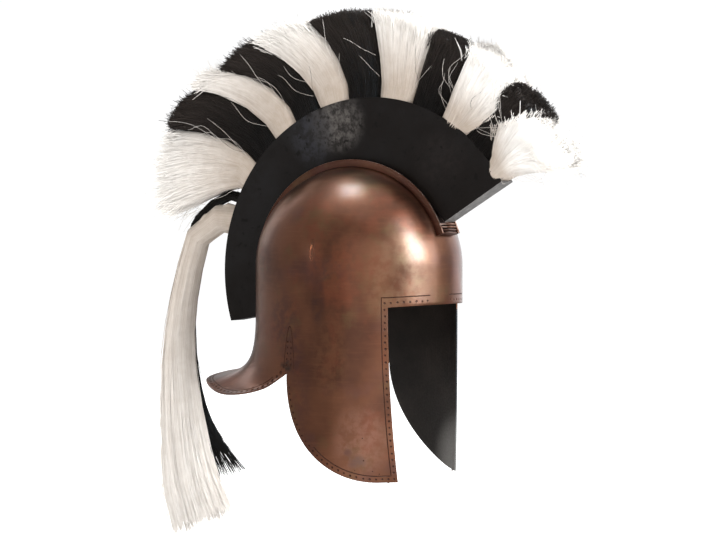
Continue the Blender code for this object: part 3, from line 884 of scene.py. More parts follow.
# How far a cutter stands out of the skin, and its finish among the skull's
CUTTER_LIFT = 0.0003
GROOVE = 2
# Where the line and the dots along a cheek guard's lower edge stop, as a share of a quarter turn
# from the ear notch, and where those along the neck guard's rim start, in degrees from the front
LOWER_LINE_STOP = 0.52
LOWER_DOTS_STOP = 0.10
RIM_LINE_START = 110.0
RIM_DOTS_START = 105.0
# The dots: how far into each band they are, how much larger they are along the rim, how far each
# is off its place, and the seed of those draws
BROW_DOTS_IN = 0.45
EDGE_DOTS_IN = 0.5
RIM_DOTS_IN = 0.55
RIM_DOT_SIZE = 1.35
DOT_OFF = 0.0002
DOT_SEED = 5
# The arch over an ear notch: its foot above the notch, how far in front of it the middle is, its
# steps, how full its sides are, and how high the pairs of dots in it stand, as shares of its height
ARCH_FOOT_ABOVE = 0.004
ARCH_AHEAD = 0.0026
ARCH_STEPS = 36
ARCH_LEAN = 0.9
ARCH_DOT_ROWS = (0.08, 0.22, 0.36, 0.50, 0.64)
# How far below the brow the black paint inside the cheek guards reaches their front edge
PAINT_BELOW_BROW = 0.004


def is_worn(point):
    """Whether a point of the border is on the stretch of the brow that is rubbed smooth."""
    return WORN_BROW[0] < point[0] < WORN_BROW[1] and point[1] < 0.0


def unworn(points):
    """The stretches of a line that aren't rubbed smooth."""
    runs = [[]]
    for point in points:
        if is_worn(point):
            if runs[-1]:
                runs.append([])
        else:
            runs[-1].append(point)
    return [run for run in runs if len(run) > 1]


def cut_line(form, tree, points, settings):
    """A V-shaped cutter along a line on the skin that tree holds."""
    depth = settings.line_depth
    half_top = settings.line_width / 2 * (CUTTER_LIFT + depth) / depth
    spots = [tree.find_nearest(p)[:2] for p in points]
    rings = []
    for i, (spot, normal) in enumerate(spots):
        along = spots[min(i + 1, len(spots) - 1)][0] - spots[max(i - 1, 0)][0]
        side = normal.cross(along).normalized() * half_top
        top = spot + normal * CUTTER_LIFT
        rings.append([top + side, top - side, spot - normal * depth])
    add_loft(form, rings, GROOVE)


# A dot's cutter is widest above the skin and narrows downwards, as shares of its radius
DOT_TOP = 1.25
DOT_MIDDLE = 0.75
DOT_BOTTOM = 0.35


def cut_dot(form, tree, point, radius, depth, sides=10):
    """A round cutter that narrows downwards."""
    spot, normal = tree.find_nearest(point)[:2]
    first = normal.orthogonal().normalized()
    second = normal.cross(first)
    turns = [2 * math.pi * k / sides for k in range(sides)]
    rings = [
        [spot + normal * height + first * (wide * math.cos(turn)) + second * (wide * math.sin(turn))
         for turn in turns]
        for height, wide in ((CUTTER_LIFT, radius * DOT_TOP), (-depth * 0.6, radius * DOT_MIDDLE),
                             (-depth, radius * DOT_BOTTOM))
    ]
    add_loft(form, rings, GROOVE)


def other_side(point):
    return Vector((-point[0], point[1], point[2]))


def arch_marks(borders, settings):
    """The arch over an ear notch, and the dots inside it."""
    foot = NOTCH_DEPTH - ARCH_FOOT_ABOVE
    middle = borders.run(NOTCH_ANGLE) - ARCH_AHEAD
    half, height = settings.arch_width / 2, settings.arch_height
    arch = []
    for share in spread(-1.0, 1.0, ARCH_STEPS):
        lean = math.copysign(abs(share) ** ARCH_LEAN, share)
        arch.append((middle + lean * half, foot - height * (1.0 - share * share)))
    dots = [(middle + side * half * (0.46 - 0.25 * rise), foot - height * rise)
            for rise in ARCH_DOT_ROWS for side in (-1, 1)]
    return [borders.skin(p) for p in arch], [borders.skin(p) for p in dots]


def skull_cutters(tree, settings, draw):
    """Every engraved line, punched dot and pit as one mesh of cutters."""
    form = bmesh.new()
    borders = Borders()
    band, rim_band, pitch = settings.edge_band, settings.rim_band, settings.dot_pitch

    line = borders.opening(settings.brow_band, band, band)
    line += borders.lower(band, band + LOWER_PITCH, LOWER_LINE_STOP)
    solid = [borders.skin(p) for p in line]
    solid[0].x = 0.0
    rim = borders.rim(rim_band, RIM_LINE_START)
    rim[-1].x = 0.0
    arch, arch_dots = arch_marks(borders, settings)
    lines = unworn(mirrored(solid)) + [mirrored(rim), arch, [other_side(p) for p in arch]]
    for points in lines:
        cut_line(form, tree, points, settings)

    inward = band * EDGE_DOTS_IN
    brow_dots = even(borders.opening(settings.brow_band * BROW_DOTS_IN, inward, inward), pitch)
    lower_dots = even(borders.lower(inward, inward + pitch, LOWER_DOTS_STOP), pitch)
    rim_dots = even(borders.rim(rim_band * RIM_DOTS_IN, RIM_DOTS_START), pitch)
    dots = [(borders.skin(p), 1.0) for p in (*brow_dots, *lower_dots)]
    dots += [(p, 1.0) for p in arch_dots] + [(Vector(p), RIM_DOT_SIZE) for p in rim_dots]
    for near, wide in dots:
        for point in (near, other_side(near)):
            if point is not near and abs(point.x) < pitch / 3 or is_worn(point):
                continue
            spot = point + Vector([draw.normal(0, DOT_OFF) for _ in range(3)])
            cut_dot(form, tree, spot, settings.dot_radius * wide * draw.uniform(0.85, 1.12),
                    settings.line_depth * draw.uniform(0.9, 1.2))
    for values in PITS:
        pit = row(PIT_COLUMNS, values)
        spot = cheek_point(angle_at(pit["forward"]), pit["depth"])
        spot.x *= pit["side"]
        cut_dot(form, tree, spot, pit["radius"], settings.line_depth * 0.8, sides=7)
    bmesh.ops.recalc_face_normals(form, faces=form.faces)
    return form


class HELMET_OT_skull(bpy.types.Operator):
    """Copper skull with cheek guards, neck guard and its engraved borders"""

    bl_idname = "helmet.skull"
    bl_label = "Skull and guards"

    def execute(self, context):
        settings = context.scene.helmet_skull
        finishes = [copper_finish(), lining_finish(), groove_finish()]
        skull = built("skull_and_guards", skull_skin(), finishes)
        skull.modifiers.new("other side", "MIRROR").merge_threshold = 0.00005
        walled(skull, settings.plate, inside=1)
        bevelled(skull, 0.0004, 2, 60)
        settled(skull)
        paint_top = middle_point(0.0, BROW_DEPTH + PAINT_BELOW_BROW).z
        for face in skull.data.polygons:
            inward = face.normal.x * face.center.x < 0.0
            if inward and face.normal.y < -0.6 and face.center.z < paint_top:
                face.material_index = 1

        draw = np.random.default_rng(DOT_SEED)
        tree = BVHTree.FromPolygons([v.co for v in skull.data.vertices],
                                    [p.vertices[:] for p in skull.data.polygons])
        cutters = built("border_cutters", skull_cutters(tree, settings, draw), finishes)
        engrave = skull.modifiers.new("borders", "BOOLEAN")
        engrave.operation = "DIFFERENCE"
        engrave.solver = "MANIFOLD"
        engrave.object = cutters
        before = len(skull.data.polygons)
        settled(skull)
        bpy.data.objects.remove(cutters, do_unlink=True)
        if len(skull.data.polygons) <= before:
            raise RuntimeError("the borders were not cut into the skull")
        smooth_faces(skull.data)
        place(skull, "helmet_shell")
        return {"FINISHED"}


# Crest channel and crest box


def ridge(travel):
    """A point of the skull's middle line and its outward direction, as (forward, up) pairs."""
    past = max(0.0, -travel - math.pi / 2)
    turn = max(travel, -math.pi / 2)
    forward = SKULL_HALF_LENGTH * math.sin(turn)
    up = DOME_HEIGHT * math.cos(turn) - past * DOME_HEIGHT
    out = Vector((math.sin(turn) / SKULL_HALF_LENGTH, math.cos(turn) / DOME_HEIGHT)).normalized()
    return Vector((forward, up)), out


def travel_to(depth, side):
    if depth <= DOME_HEIGHT:
        return side * math.acos(1.0 - depth / DOME_HEIGHT)
    return side * (math.pi / 2 + (depth - DOME_HEIGHT) / DOME_HEIGHT)


def off_ridge(travel, side, height):
    base, out = ridge(travel)
    sink = math.sqrt(1.0 - (side / SKULL_HALF_WIDTH) ** 2)
    skin = Vector((base.x * sink, base.y)) if travel < -math.pi / 2 else base * sink
    point = skin + out * height
    return middle_point(point.x, DOME_HEIGHT - point.y, side)


def channel_rings():
    start = travel_to(CHANNEL_FRONT_DEPTH, 1)
    end = travel_to(CHANNEL_REAR_DEPTH, -1)
    wall = CHANNEL_WALL / DOME_HEIGHT
    stations = [(start, CHANNEL_FRONT_WALL), (start - wall, CHANNEL_FRONT_WALL)]
    stations += [(t, CHANNEL_FLOOR) for t in spread(start - 1.1 * wall, end, CHANNEL_STATIONS)]
    outer = CHANNEL_HALF_WIDTH
    inner = CHANNEL_HALF_WIDTH - CHANNEL_WALL
    rings = []
    for travel, floor in stations:
        base, out = ridge(travel)
        rim = base + out * (CHANNEL_HEIGHT + CHANNEL_GAP)
        rims = {x: middle_point(rim.x, DOME_HEIGHT - rim.y, x)
                for x in (-outer, -inner, inner, outer)}
        under = [off_ridge(travel, x, CHANNEL_GAP) for x in spread(outer, -outer, 4)]
        top = [off_ridge(travel, x, CHANNEL_GAP + floor) for x in spread(-inner, inner, 2)]
        rings.append(under + [rims[-outer], rims[-inner]] + top + [rims[inner], rims[outer]])
    return rings


# Folded sheets across the channel in front of the box: how far behind its front end each is, how
# high it stands and half its width
SHEET_COLUMNS = ("behind", "height", "half_width")
SHEETS = ((0.0010, 0.0054, 0.0160), (0.0040, 0.0057, 0.0144), (0.0070, 0.0060, 0.0144),
          (0.0100, 0.0061, 0.0144))
SHEET_THICKNESS = 0.0026
# A sheet's ends are rounded: places across it as shares of half its width, and the drop there.
# So is its top: places along the helmet as shares of half its thickness, and the drop there.
SHEET_ENDS = ((-1.0, 0.0016), (-0.97, 0.0005), (-0.9, 0.0), (0.9, 0.0), (0.97, 0.0005),
              (1.0, 0.0016))
SHEET_TOP = ((-1.0, 0.0013), (-0.7, 0.0004), (0.0, 0.0), (0.7, 0.0004), (1.0, 0.0013))
SHEET_FOOT = 0.9
SHEET_SUNK = 0.001
# How far down from the channel's upper edge its painted highlight reaches
LIP_HIGHLIGHT = 0.0004


def folded_sheets(form):
    """The folded sheets that close the channel's front end, each with a rounded top."""
    for values in SHEETS:
        sheet = row(SHEET_COLUMNS, values)
        travel = travel_to(CHANNEL_FRONT_DEPTH, 1) - sheet["behind"] / DOME_HEIGHT
        base, out = ridge(travel)
        along = Vector((out.y, -out.x)) * (SHEET_THICKNESS / 2)
        rings = []
        for side, drop in SHEET_ENDS:
            high = sheet["height"] - drop
            foot = CHANNEL_FLOOR - SHEET_SUNK
            line = [(-SHEET_FOOT, foot)]
            line += [(share, high - down) for share, down in SHEET_TOP] + [(SHEET_FOOT, foot)]
            ring = []
            for share, height in line:
                spot = base + out * (CHANNEL_GAP + height) + along * share
                ring.append(middle_point(spot.x, DOME_HEIGHT - spot.y, side * sheet["half_width"]))
            rings.append(ring)
        add_loft(form, rings)


def height_off_ridge(point):
    """How far a point of the channel stands off the skull's middle line."""
    forward, up = -point.y, point.z - plate() + DOME_HEIGHT
    if up < 0.0:
        return -forward - SKULL_HALF_LENGTH
    a, b = forward / SKULL_HALF_LENGTH, up / DOME_HEIGHT
    size = math.hypot(a, b)
    return (size - 1.0) * size / math.hypot(a / SKULL_HALF_LENGTH, b / DOME_HEIGHT)


class HELMET_OT_channel(bpy.types.Operator):
    """Raised copper channel over the dome that holds the crest box"""

    bl_idname = "helmet.channel"
    bl_label = "Crest channel"

    def execute(self, context):
        form = bmesh.new()
        add_loft(form, channel_rings())
        bmesh.ops.recalc_face_normals(form, faces=form.faces)
        # The channel's copper is darkened all over, which paints its tarnish and the shade on its
        # sides; its upper edge gets a painted highlight
        finishes = [copper_finish("channel_copper", 0.56, tarnish_and_shade=0.35), lip_highlight_finish()]
        channel = built("copper_channel", form, finishes)
        bevelled(channel, 0.0006, 3, 50)
        settled(channel)
        form = bmesh.new()
        form.from_mesh(channel.data)
        folded_sheets(form)
        bmesh.ops.recalc_face_normals(form, faces=form.faces)
        lip = CHANNEL_HEIGHT + CHANNEL_GAP - LIP_HIGHLIGHT
        for face in form.faces:
            if height_off_ridge(face.calc_center_median()) > lip:
                face.material_index = 1
        form.to_mesh(channel.data)
        form.free()
        smooth_faces(channel.data)
        place(channel, "crest_channel")
        return {"FINISHED"}


def box_arc(angle):
    """The crest box's outer edge at an angle in degrees, and its outward direction."""
    turn = math.radians(angle)
    point = Vector((
        BOX_CENTRE_FORWARD + BOX_ARC_LENGTH_AXIS * math.sin(turn),
        plate() - BOX_CENTRE_DEPTH + BOX_ARC_HEIGHT_AXIS * math.cos(turn),
    ))
    out = Vector((math.sin(turn) / BOX_ARC_LENGTH_AXIS, math.cos(turn) / BOX_ARC_HEIGHT_AXIS))
    return point, out.normalized()


def box_foot(angle):
    share = (BOX_FRONT_ANGLE - angle) / (BOX_FRONT_ANGLE - BOX_REAR_ANGLE)
    front = travel_to(BOX_FRONT_DEPTH, 1)
    rear = travel_to(BOX_REAR_DEPTH, -1)
    base, out = ridge(front + (rear - front) * share)
    rise = BOX_FRONT_RISE * max(0.0, 1.0 - share / BOX_RISE_SHARE) ** 2
    foot = base + out * (CHANNEL_GAP + CHANNEL_FLOOR + BOX_GAP + rise)
    return Vector((foot.x, plate() - DOME_HEIGHT + foot.y))


class HELMET_OT_box(bpy.types.Operator):
    """Black steel crest box with its bare front end"""

    bl_idname = "helmet.box"
    bl_label = "Crest box"

    def execute(self, context):
        form = bmesh.new()
        rows = []
        for angle in spread(BOX_FRONT_ANGLE, BOX_REAR_ANGLE, BOX_STATIONS):
            top = box_arc(angle)[0]
            foot = box_foot(angle)
            line = []
            for share in spread(0.0, 1.0, 5):
                half = BOX_HALF_TOP + (BOX_HALF_BOTTOM - BOX_HALF_TOP) * share
                line.append((top.lerp(foot, share), -half))
            line += [(p, -side) for p, side in reversed(line)]
            rows.append([form.verts.new((side, -p.x, p.y)) for p, side in line])
        skin_rows(form, rows)
        for line, turned, finish in ((rows[0], False, 1), (rows[-1], True, 0)):
            for i in range(5):
                corners = [line[i], line[i + 1], line[-2 - i], line[-1 - i]]
                face = form.faces.new(corners[::-1] if turned else corners)
                face.material_index = finish
        box = built("crest_box_black", form, [box_finish(), plate_finish()])
        walled(box, BOX_WALL)
        bevelled(box, 0.0003, 2, 50)
        settled(box)
        smooth_faces(box.data)
        place(box, "crest_box")
        return {"FINISHED"}


# Hair

# Share of a whole tuft's form, against each hair's own, in how light falls on the hairs
SOFTNESS = {"white": 0.6, "black": 0.2}
# The last part of each hair loses most of that light: from how far along it, over how much of it,
# and how much is lost
SOFT_UNTIL = 0.72
SOFT_FADE = 0.2
SOFT_LOSS = 0.85
# How square a tuft's section is: 2 is an oval, and more is squarer
SQUARENESS = 3.2
# Where a tuft's hairs start, below the box's edge
ROOT = -0.10
# Places along a long hair, and how far those between its ends are off them
LONG_STEPS = np.array([0.0, 0.24, 0.50, 0.76, 1.0])
STEP_OFF = 0.07
# The waves of a long hair, in metres, and how fast they follow each other along it
WAVE_SIZE = 0.0010
WAVE_PACE = 4.0
# The short hairs of a tuft's cut end: their length, and the least that each reaches, as shares of
# the tuft's length
BRUSH_LENGTH = (0.06, 0.20)
BRUSH_REACH = (0.985, 1.025)
# Loose hairs: where they leave a tuft and how much farther they go, along it; then how far they
# lean at least, on average beyond that and at most beyond it, how far they hook, and how far they
# lift off its side, in metres
STRAY_START = (0.10, 0.55)
STRAY_LENGTH = (0.22, 0.50)
STRAY_LEAN = (0.004, 0.010, 0.014)
STRAY_HOOK = 0.007
STRAY_LIFT = 0.003
# How late along a hair its pale end comes
HAIR_FADE = 1.7
HAIR_SIDES = 3


def hairs(paths, radius, shade, facing, softness):
    """Thin closed three-sided hairs: points, quads, triangles, shades and shading directions.

    paths and facing are hairs x stations x 3, radius and shade hairs x stations.
    """
    count, stations = paths.shape[:2]
    along = unit(np.gradient(paths, axis=1))
    guide = np.where(np.abs(along[..., :1]) > 0.8, np.array([0.0, 0.0, 1.0]),
                     np.array([1.0, 0.0, 0.0]))
    first = unit(np.cross(along, guide))
    second = np.cross(along, first)
    rings, normals = [], []
    for k in range(HAIR_SIDES):
        turn = 2 * math.pi * k / HAIR_SIDES
        out = first * math.cos(turn) + second * math.sin(turn)
        rings.append(paths + radius[..., None] * out)
        normals.append(out * (1.0 - softness) + facing * softness)
    points = np.stack(rings, axis=2).reshape(-1, 3)
    normals = np.stack(normals, axis=2).reshape(-1, 3)
    start = (np.arange(count) * stations * HAIR_SIDES)[:, None]
    end = start + (stations - 1) * HAIR_SIDES
    caps = np.concatenate([start + np.array([[2, 1, 0]]), end + np.array([[0, 1, 2]])])
    quads = tube_quads(count, stations, HAIR_SIDES)
    return points, quads, caps, np.repeat(shade.reshape(-1), HAIR_SIDES), normals


def core_body(rings, shade):
    """A closed body through rings of points, its ends drawn in to a point each."""
    count, sides = rings.shape[:2]
    shade = np.concatenate([np.repeat(shade, sides), shade[:1], shade[-1:]])
    points = np.concatenate([rings.reshape(-1, 3), rings[:1].mean(axis=1), rings[-1:].mean(axis=1)])
    corner = np.arange(sides)
    after = (corner + 1) % sides
    top = (count - 1) * sides
    first, last = count * sides, count * sides + 1
    caps = np.concatenate([
        np.stack([after, corner, np.full(sides, first)], axis=1),
        np.stack([top + corner, top + after, np.full(sides, last)], axis=1),
    ])
    return points, tube_quads(1, count, sides), caps, shade, np.zeros_like(points)


def hair_piece(name, batches, material, softness, core):
    """One object of several batches of hairs round a core."""
    parts = [core_body(*core)] + [hairs(*batch, softness) for batch in batches]
    points, quads, caps, shades, normals = zip(*parts)
    firsts = np.cumsum([0] + [len(p) for p in points[:-1]])
    quads = np.concatenate([q + first for q, first in zip(quads, firsts)])
    caps = np.concatenate([c + first for c, first in zip(caps, firsts)])
    points, shades, normals = (np.concatenate(each) for each in (points, shades, normals))
    mesh = bpy.data.meshes.new(name)
    mesh.vertices.add(len(points))
    mesh.vertices.foreach_set("co", points.astype(np.float32).ravel())
    mesh.loops.add(quads.size + caps.size)
    corners = np.concatenate([quads.ravel(), caps.ravel()])
    mesh.loops.foreach_set("vertex_index", corners.astype(np.int32))
    starts = np.concatenate([np.arange(len(quads)) * 4, quads.size + np.arange(len(caps)) * 3])
    mesh.polygons.add(len(starts))
    mesh.polygons.foreach_set("loop_start", starts.astype(np.int32))
    mesh.update(calc_edges=True)
    mesh.shade_smooth()
    length = np.linalg.norm(normals, axis=1, keepdims=True)
    mesh.normals_split_custom_set_from_vertices(normals / np.where(length > 0, length, 1.0))
    shade = mesh.attributes.new("shade", "FLOAT", "POINT")
    shade.data.foreach_set("value", shades.astype(np.float32))
    mesh.materials.append(material)
    return linked(name, mesh)


def line_array(points, count):
    """A smooth line of count points through a route, as an array, by Catmull and Rom's cubic."""
    points = np.asarray(points, float)
    ends = np.concatenate([[2 * points[0] - points[1]], points, [2 * points[-1] - points[-2]]])
    at = np.linspace(0.0, len(points) - 1 - TINY, count)
    i = at.astype(int)
    t = (at - i)[:, None]
    a, b, c, d = ends[i], ends[i + 1], ends[i + 2], ends[i + 3]
    return 0.5 * (2 * b + (c - a) * t + (2 * a - 5 * b + 4 * c - d) * t**2
                  + (3 * b - a - 3 * c + d) * t**3)


def border_curve(border, t):
    """(forward, up) points of a border between tufts, t from below 0 in the box to past 1."""
    start, out = (np.array(v) for v in box_arc(border["angle"]))
    foot = np.array(box_foot(border["angle"]))
    tip = np.array([border["tip_forward"], border["tip_up"]])
    bend = start + out * np.linalg.norm(tip - start) * border["bow"]
    t = np.asarray(t, float)[..., None]
    open_part = start * (1 - t) ** 2 + bend * 2 * t * (1 - t) + tip * t**2
    down = (foot - start) / np.linalg.norm(foot - start)
    return np.where(t < 0, start - down * t * 0.1, open_part)


def solid_line(flat, side):
    """(forward, up) points and sides as helmet points."""
    return np.stack([side, -flat[..., 0], flat[..., 1]], axis=-1)


def outward(flat):
    """Unit directions square to (forward, up) lines; a tuft's front side."""
    along = unit(np.gradient(flat, axis=1))
    return np.stack([along[..., 1], -along[..., 0]], axis=-1)


def spill(ends, across, side):
    """How far hairs at their ends lie past where they start across a tuft."""
    share = np.where(across > 0.5, ends["over_rear"], ends["over_front"])
    return (2 * across - 1) * share * (0.15 + 0.85 * np.abs(side) ** 2)


def in_tuft(front, rear, ends, t, across, side):
    """(forward, up) points and sides in a tuft.

    across runs from the front border, 0, to the rear one, 1, and side from -1 to 1. The flanks of a
    tuft spill over its neighbours towards the ends.
    """
    grown = np.clip(t, 0.0, None)
    across = across + spill(ends, across, side) * (1.0 - np.exp(-5.0 * grown))
    a = across[..., None]
    flat = border_curve(front, t) * (1 - a) + border_curve(rear, t) * a
    half = TUFT_HALF_WIDTH + (ends["fan"] - TUFT_HALF_WIDTH) * grown**1.1
    sunk = ends["droop"] * grown**2 * (0.25 + 0.75 * np.abs(side) ** 2)
    return flat - np.stack([np.zeros_like(sunk), sunk], axis=-1), side * half


def facing_out(flat, ahead, side, share):
    """Directions out of a tuft or tail for soft shading.

    ahead and side are places in its section from -1 to 1, and share how far along each hair. The
    last part of each hair is left to its own form.
    """
    u = np.sign(ahead) * np.abs(ahead) ** 2
    v = np.sign(side) * np.abs(side) ** 2
    size = np.maximum(np.hypot(u, v), 1e-6)
    u, v = u / size * np.ones(share.shape), v / size * np.ones(share.shape)
    weight = 1.0 - SOFT_LOSS * np.clip((share - SOFT_UNTIL) / SOFT_FADE, 0.0, 1.0)
    return solid_line(outward(flat) * u[..., None], v) * weight[..., None]


def waves(draw, count, t, size, pace):
    """A gentle wave for each hair, growing from its root."""
    phase = draw.uniform(0, 2 * math.pi, count)[:, None]
    speed = draw.uniform(0.6, 1.4, count)[:, None] * pace
    grown = np.clip(t, 0.0, None)
    return np.sin(phase + speed * t) * size * grown


def full_reach(ends, across, side):
    """How far a tuft reaches before it is made uneven."""
    reach = ends["front_reach"] * (1 - across) + ends["rear_reach"] * across
    reach += ends["bulge"] * (1 - (2 * across - 1) ** 2)
    past = np.abs(across + spill(ends, across, side) - 0.5) * 2
    return reach / np.maximum(1.0, past) ** ends["spill_cut"] - 0.05 * np.abs(side) ** 3


def cut_reach(draw, ends, across, side, count):
    """How far each hair reaches, 1 being the borders' tips."""
    reach = full_reach(ends, across, side)
    lumps = 0.6 * ends["ragged"] * (np.sin(9 * across + 2) * np.sin(3 * side + across * 4))
    return reach + lumps + draw.uniform(-1.7, 1.7, count) * ends["ragged"]


def grown_shade(draw, t, pale, spread_out):
    """The lighter ends of hairs: 0 at the root to 1 at the tips, a little different in each."""
    # The darker roots are the hair's own tint together with painted shade near the box.
    grown = np.clip(t * pale, 0.0, 1.0) ** HAIR_FADE
    return np.clip(grown + draw.normal(0, spread_out, len(t))[:, None], 0.0, 1.0)


def section(turn, out):
    """Places in a tuft's section, out of the way to its edge: across 0..1, side -1..1."""
    u, v = np.cos(turn), np.sin(turn)
    square = (np.abs(u) ** SQUARENESS + np.abs(v) ** SQUARENESS) ** (-1 / SQUARENESS)
    return 0.5 + 0.5 * u * square * out, v * square * out


def rounded(draw, count, low, high):
    """Random places in a tuft's section, from low to high of the way out."""
    turn = draw.uniform(0, 2 * math.pi, count)
    return section(turn, draw.uniform(low, high, count))


def thickness(draw, paths, radius, end):
    """Radii along hairs, a little different in each, and thinner at its end."""
    thick = np.full(paths.shape[:2], radius) * draw.uniform(0.8, 1.2, (len(paths), 1))
    thick[:, -1] *= end
    return thick


def long_hairs(draw, front, rear, ends, count, radius):
    """Hairs on the outside of a tuft, from inside the box to the cut end."""
    across, side = rounded(draw, count, 0.92, 1.0)
    reach = cut_reach(draw, ends, across, side, count)
    t = ROOT + LONG_STEPS[None, :] * (reach[:, None] - ROOT)
    t[:, 1:-1] += draw.uniform(-STEP_OFF, STEP_OFF, (count, len(LONG_STEPS) - 2))
    flat, sideways = in_tuft(front, rear, ends, t, across[:, None], side[:, None])
    size = WAVE_SIZE * (0.5 + ends["frizz"])
    flat = flat + outward(flat) * waves(draw, count, t, size, WAVE_PACE)[..., None]
    sideways = sideways + waves(draw, count, t, size, WAVE_PACE)
    paths = solid_line(flat, sideways)
    thick = thickness(draw, paths, radius, 0.6)
    facing = facing_out(flat, 1.0 - 2.0 * across[:, None], side[:, None],
                        np.tile(LONG_STEPS, (count, 1)))
    return paths, thick, grown_shade(draw, t, ends["pale"], 0.04), facing


def cut_ends(draw, front, rear, ends, count, radius):
    """Short hairs that make the brush-like cut end of a tuft."""
    across, side = rounded(draw, count, 0.0, 1.0)
    across = np.where(draw.random(count) < 0.5, across, draw.uniform(0.02, 0.98, count))
    side = np.where(draw.random(count) < 0.5, side, draw.uniform(-1, 1, count))
    reach = np.maximum(cut_reach(draw, ends, across, side, count),
                       full_reach(ends, across, side) * draw.uniform(*BRUSH_REACH, count))
    start = reach - draw.uniform(*BRUSH_LENGTH, count)
    t = np.stack([start, (start + reach) / 2, reach], axis=1)
    flat, sideways = in_tuft(front, rear, ends, t, across[:, None], side[:, None])
    swing = draw.normal(0, ends["frizz"], (2, count)) * np.linalg.norm(
        flat[:, -1] - flat[:, 0], axis=1
    )
    bend = np.array([0.0, 0.35, 1.0])
    flat = flat + outward(flat) * (swing[0][:, None] * bend)[..., None]
    sideways = sideways + swing[1][:, None] * bend
    paths = solid_line(flat, sideways)
    thick = thickness(draw, paths, radius, 0.7)
    facing = facing_out(flat, 1.0 - 2.0 * across[:, None], side[:, None], np.full(t.shape, 0.85))
    return paths, thick, grown_shade(draw, t, ends["pale"], ends["mottle"]), facing


def stray_hairs(draw, front, rear, ends, radius):
    """Single hairs that stand out from a tuft's sides and curl over its neighbours."""
    count = int(ends["strays"])
    rear_side = draw.random(count) < 0.5
    edge = draw.uniform(0.0, 0.14, count)
    across = np.where(rear_side, 1.0 - edge, edge)
    side = np.where(draw.random(count) < 0.5, -1.0, 1.0) * draw.uniform(0.6, 1.0, count)
    begin = draw.uniform(*STRAY_START, count)
    reach = begin + draw.uniform(*STRAY_LENGTH, count)
    steps = np.linspace(0.0, 1.0, 9)[None, :]
    t = begin[:, None] + steps * (reach - begin)[:, None]
    flat, sideways = in_tuft(front, rear, ends, t, across[:, None], side[:, None])
    away = np.where(rear_side, -1.0, 1.0)
    least, usual, most = STRAY_LEAN
    curl = away * (least + np.minimum(draw.exponential(usual, count), most))
    late = steps ** draw.uniform(1.2, 2.4, count)[:, None]
    hook = np.sin(steps * draw.uniform(1.0, 4.5, count)[:, None]) * STRAY_HOOK
    flat = flat + outward(flat) * (curl[:, None] * late + hook * away[:, None])[..., None]
    lift = np.sign(side) * (STRAY_LIFT + np.abs(draw.normal(0.002, 0.004, count)))
    sideways = sideways + lift[:, None] * np.minimum(1.0, 3.0 * steps)
    paths = solid_line(flat, sideways)
    thick = np.full(paths.shape[:2], radius)
    thick[:, -1] *= 0.5
    return paths, thick, np.clip(0.30 + 0.5 * t, 0.0, 1.0), np.zeros(paths.shape)


# A tuft's core: how far along the tuft each ring is, and its size as a share of the tuft's
CORE_RINGS = ((ROOT, 0.88), (0.0, 0.92), (0.14, 0.94), (0.30, 0.95), (0.46, 0.95), (0.62, 0.94),
              (0.76, 0.93), (0.88, 0.91), (0.94, 0.83), (0.975, 0.62))
CORE_SIDES = 24
# How pale the core is against the hairs round it
CORE_SHADE = 0.96


def tuft_core(front, rear, ends):
    """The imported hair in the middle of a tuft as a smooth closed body: rings and their shades."""
    rings, shades = [], []
    for t, share in CORE_RINGS:
        across, side = section(np.linspace(0, 2 * math.pi, CORE_SIDES, endpoint=False), share)
        at = t * full_reach(ends, across, side)
        rings.append(solid_line(*in_tuft(front, rear, ends, at, across, side)))
        shades.append(min(max(t, 0.0) * ends["pale"], 1.0) ** HAIR_FADE * CORE_SHADE)
    return np.array(rings), np.array(shades)


class HELMET_OT_tufts(bpy.types.Operator):
    """Eleven short tufts of white and black hair along the crest box"""

    bl_idname = "helmet.tufts"
    bl_label = "Short tufts"

    def execute(self, context):
        settings = context.scene.helmet_hair
        finishes = hair_finishes("_hair", 4.0)
        draw = np.random.default_rng(settings.seed)
        borders = [row(BORDER_COLUMNS, values) for values in TUFT_BORDERS]
        for index, (front, rear) in enumerate(zip(borders, borders[1:])):
            ends = row(TUFT_COLUMNS, TUFT_ENDS[index])
            form = (draw, front, rear, ends)
            batches = [
                long_hairs(*form, settings.tuft_hairs, settings.radius),
                cut_ends(*form, settings.tuft_ends, settings.radius),
                stray_hairs(*form, settings.radius * 0.5),
            ]
            kind = "black" if index % 2 else "white"
            tuft = hair_piece(f"tuft_{index + 1:02d}_{kind}", batches, finishes[kind],
                              SOFTNESS[kind], tuft_core(front, rear, ends))
            place(tuft, f"plume_tuft_{index + 1:02d}")
        return {"FINISHED"}


# The tails: where they leave the box, their routes, how uneven their ends are, how far they splay
# there, how far each hair wanders, and the size of the core as a share of the tail's
TAILS = {
    "black": dict(angles=TAIL_BLACK_ANGLES, table=TAIL_BLACK, ragged=0.055, splay=0.55,
                  wander=0.0012, core=0.55),
    "white": dict(angles=TAIL_WHITE_ANGLES, table=TAIL_WHITE, ragged=0.022, splay=0.10,
                  wander=0.0006, core=0.9),
}
TAIL_STATIONS = 120
# How far inside the box a tail starts, and half its size there: along the helmet as a share of its
# stretch of the box, and from side to side
TAIL_INSIDE = 0.012
TAIL_MOUTH_HALF_DEPTH = 0.45
TAIL_MOUTH_HALF_SIDE = 0.0085
# How far along the tail its core ends, and the core's rings and sides
TAIL_CORE_END = 0.93
TAIL_CORE_RINGS = 16
TAIL_CORE_SIDES = 18
# The waves of a tail's hair: how fast they follow each other, and the finer ones over them
TAIL_WAVE_PACE = 9.0
FINE_WAVE_PACE = 20.0
FINE_WAVE_SHARE = 0.3


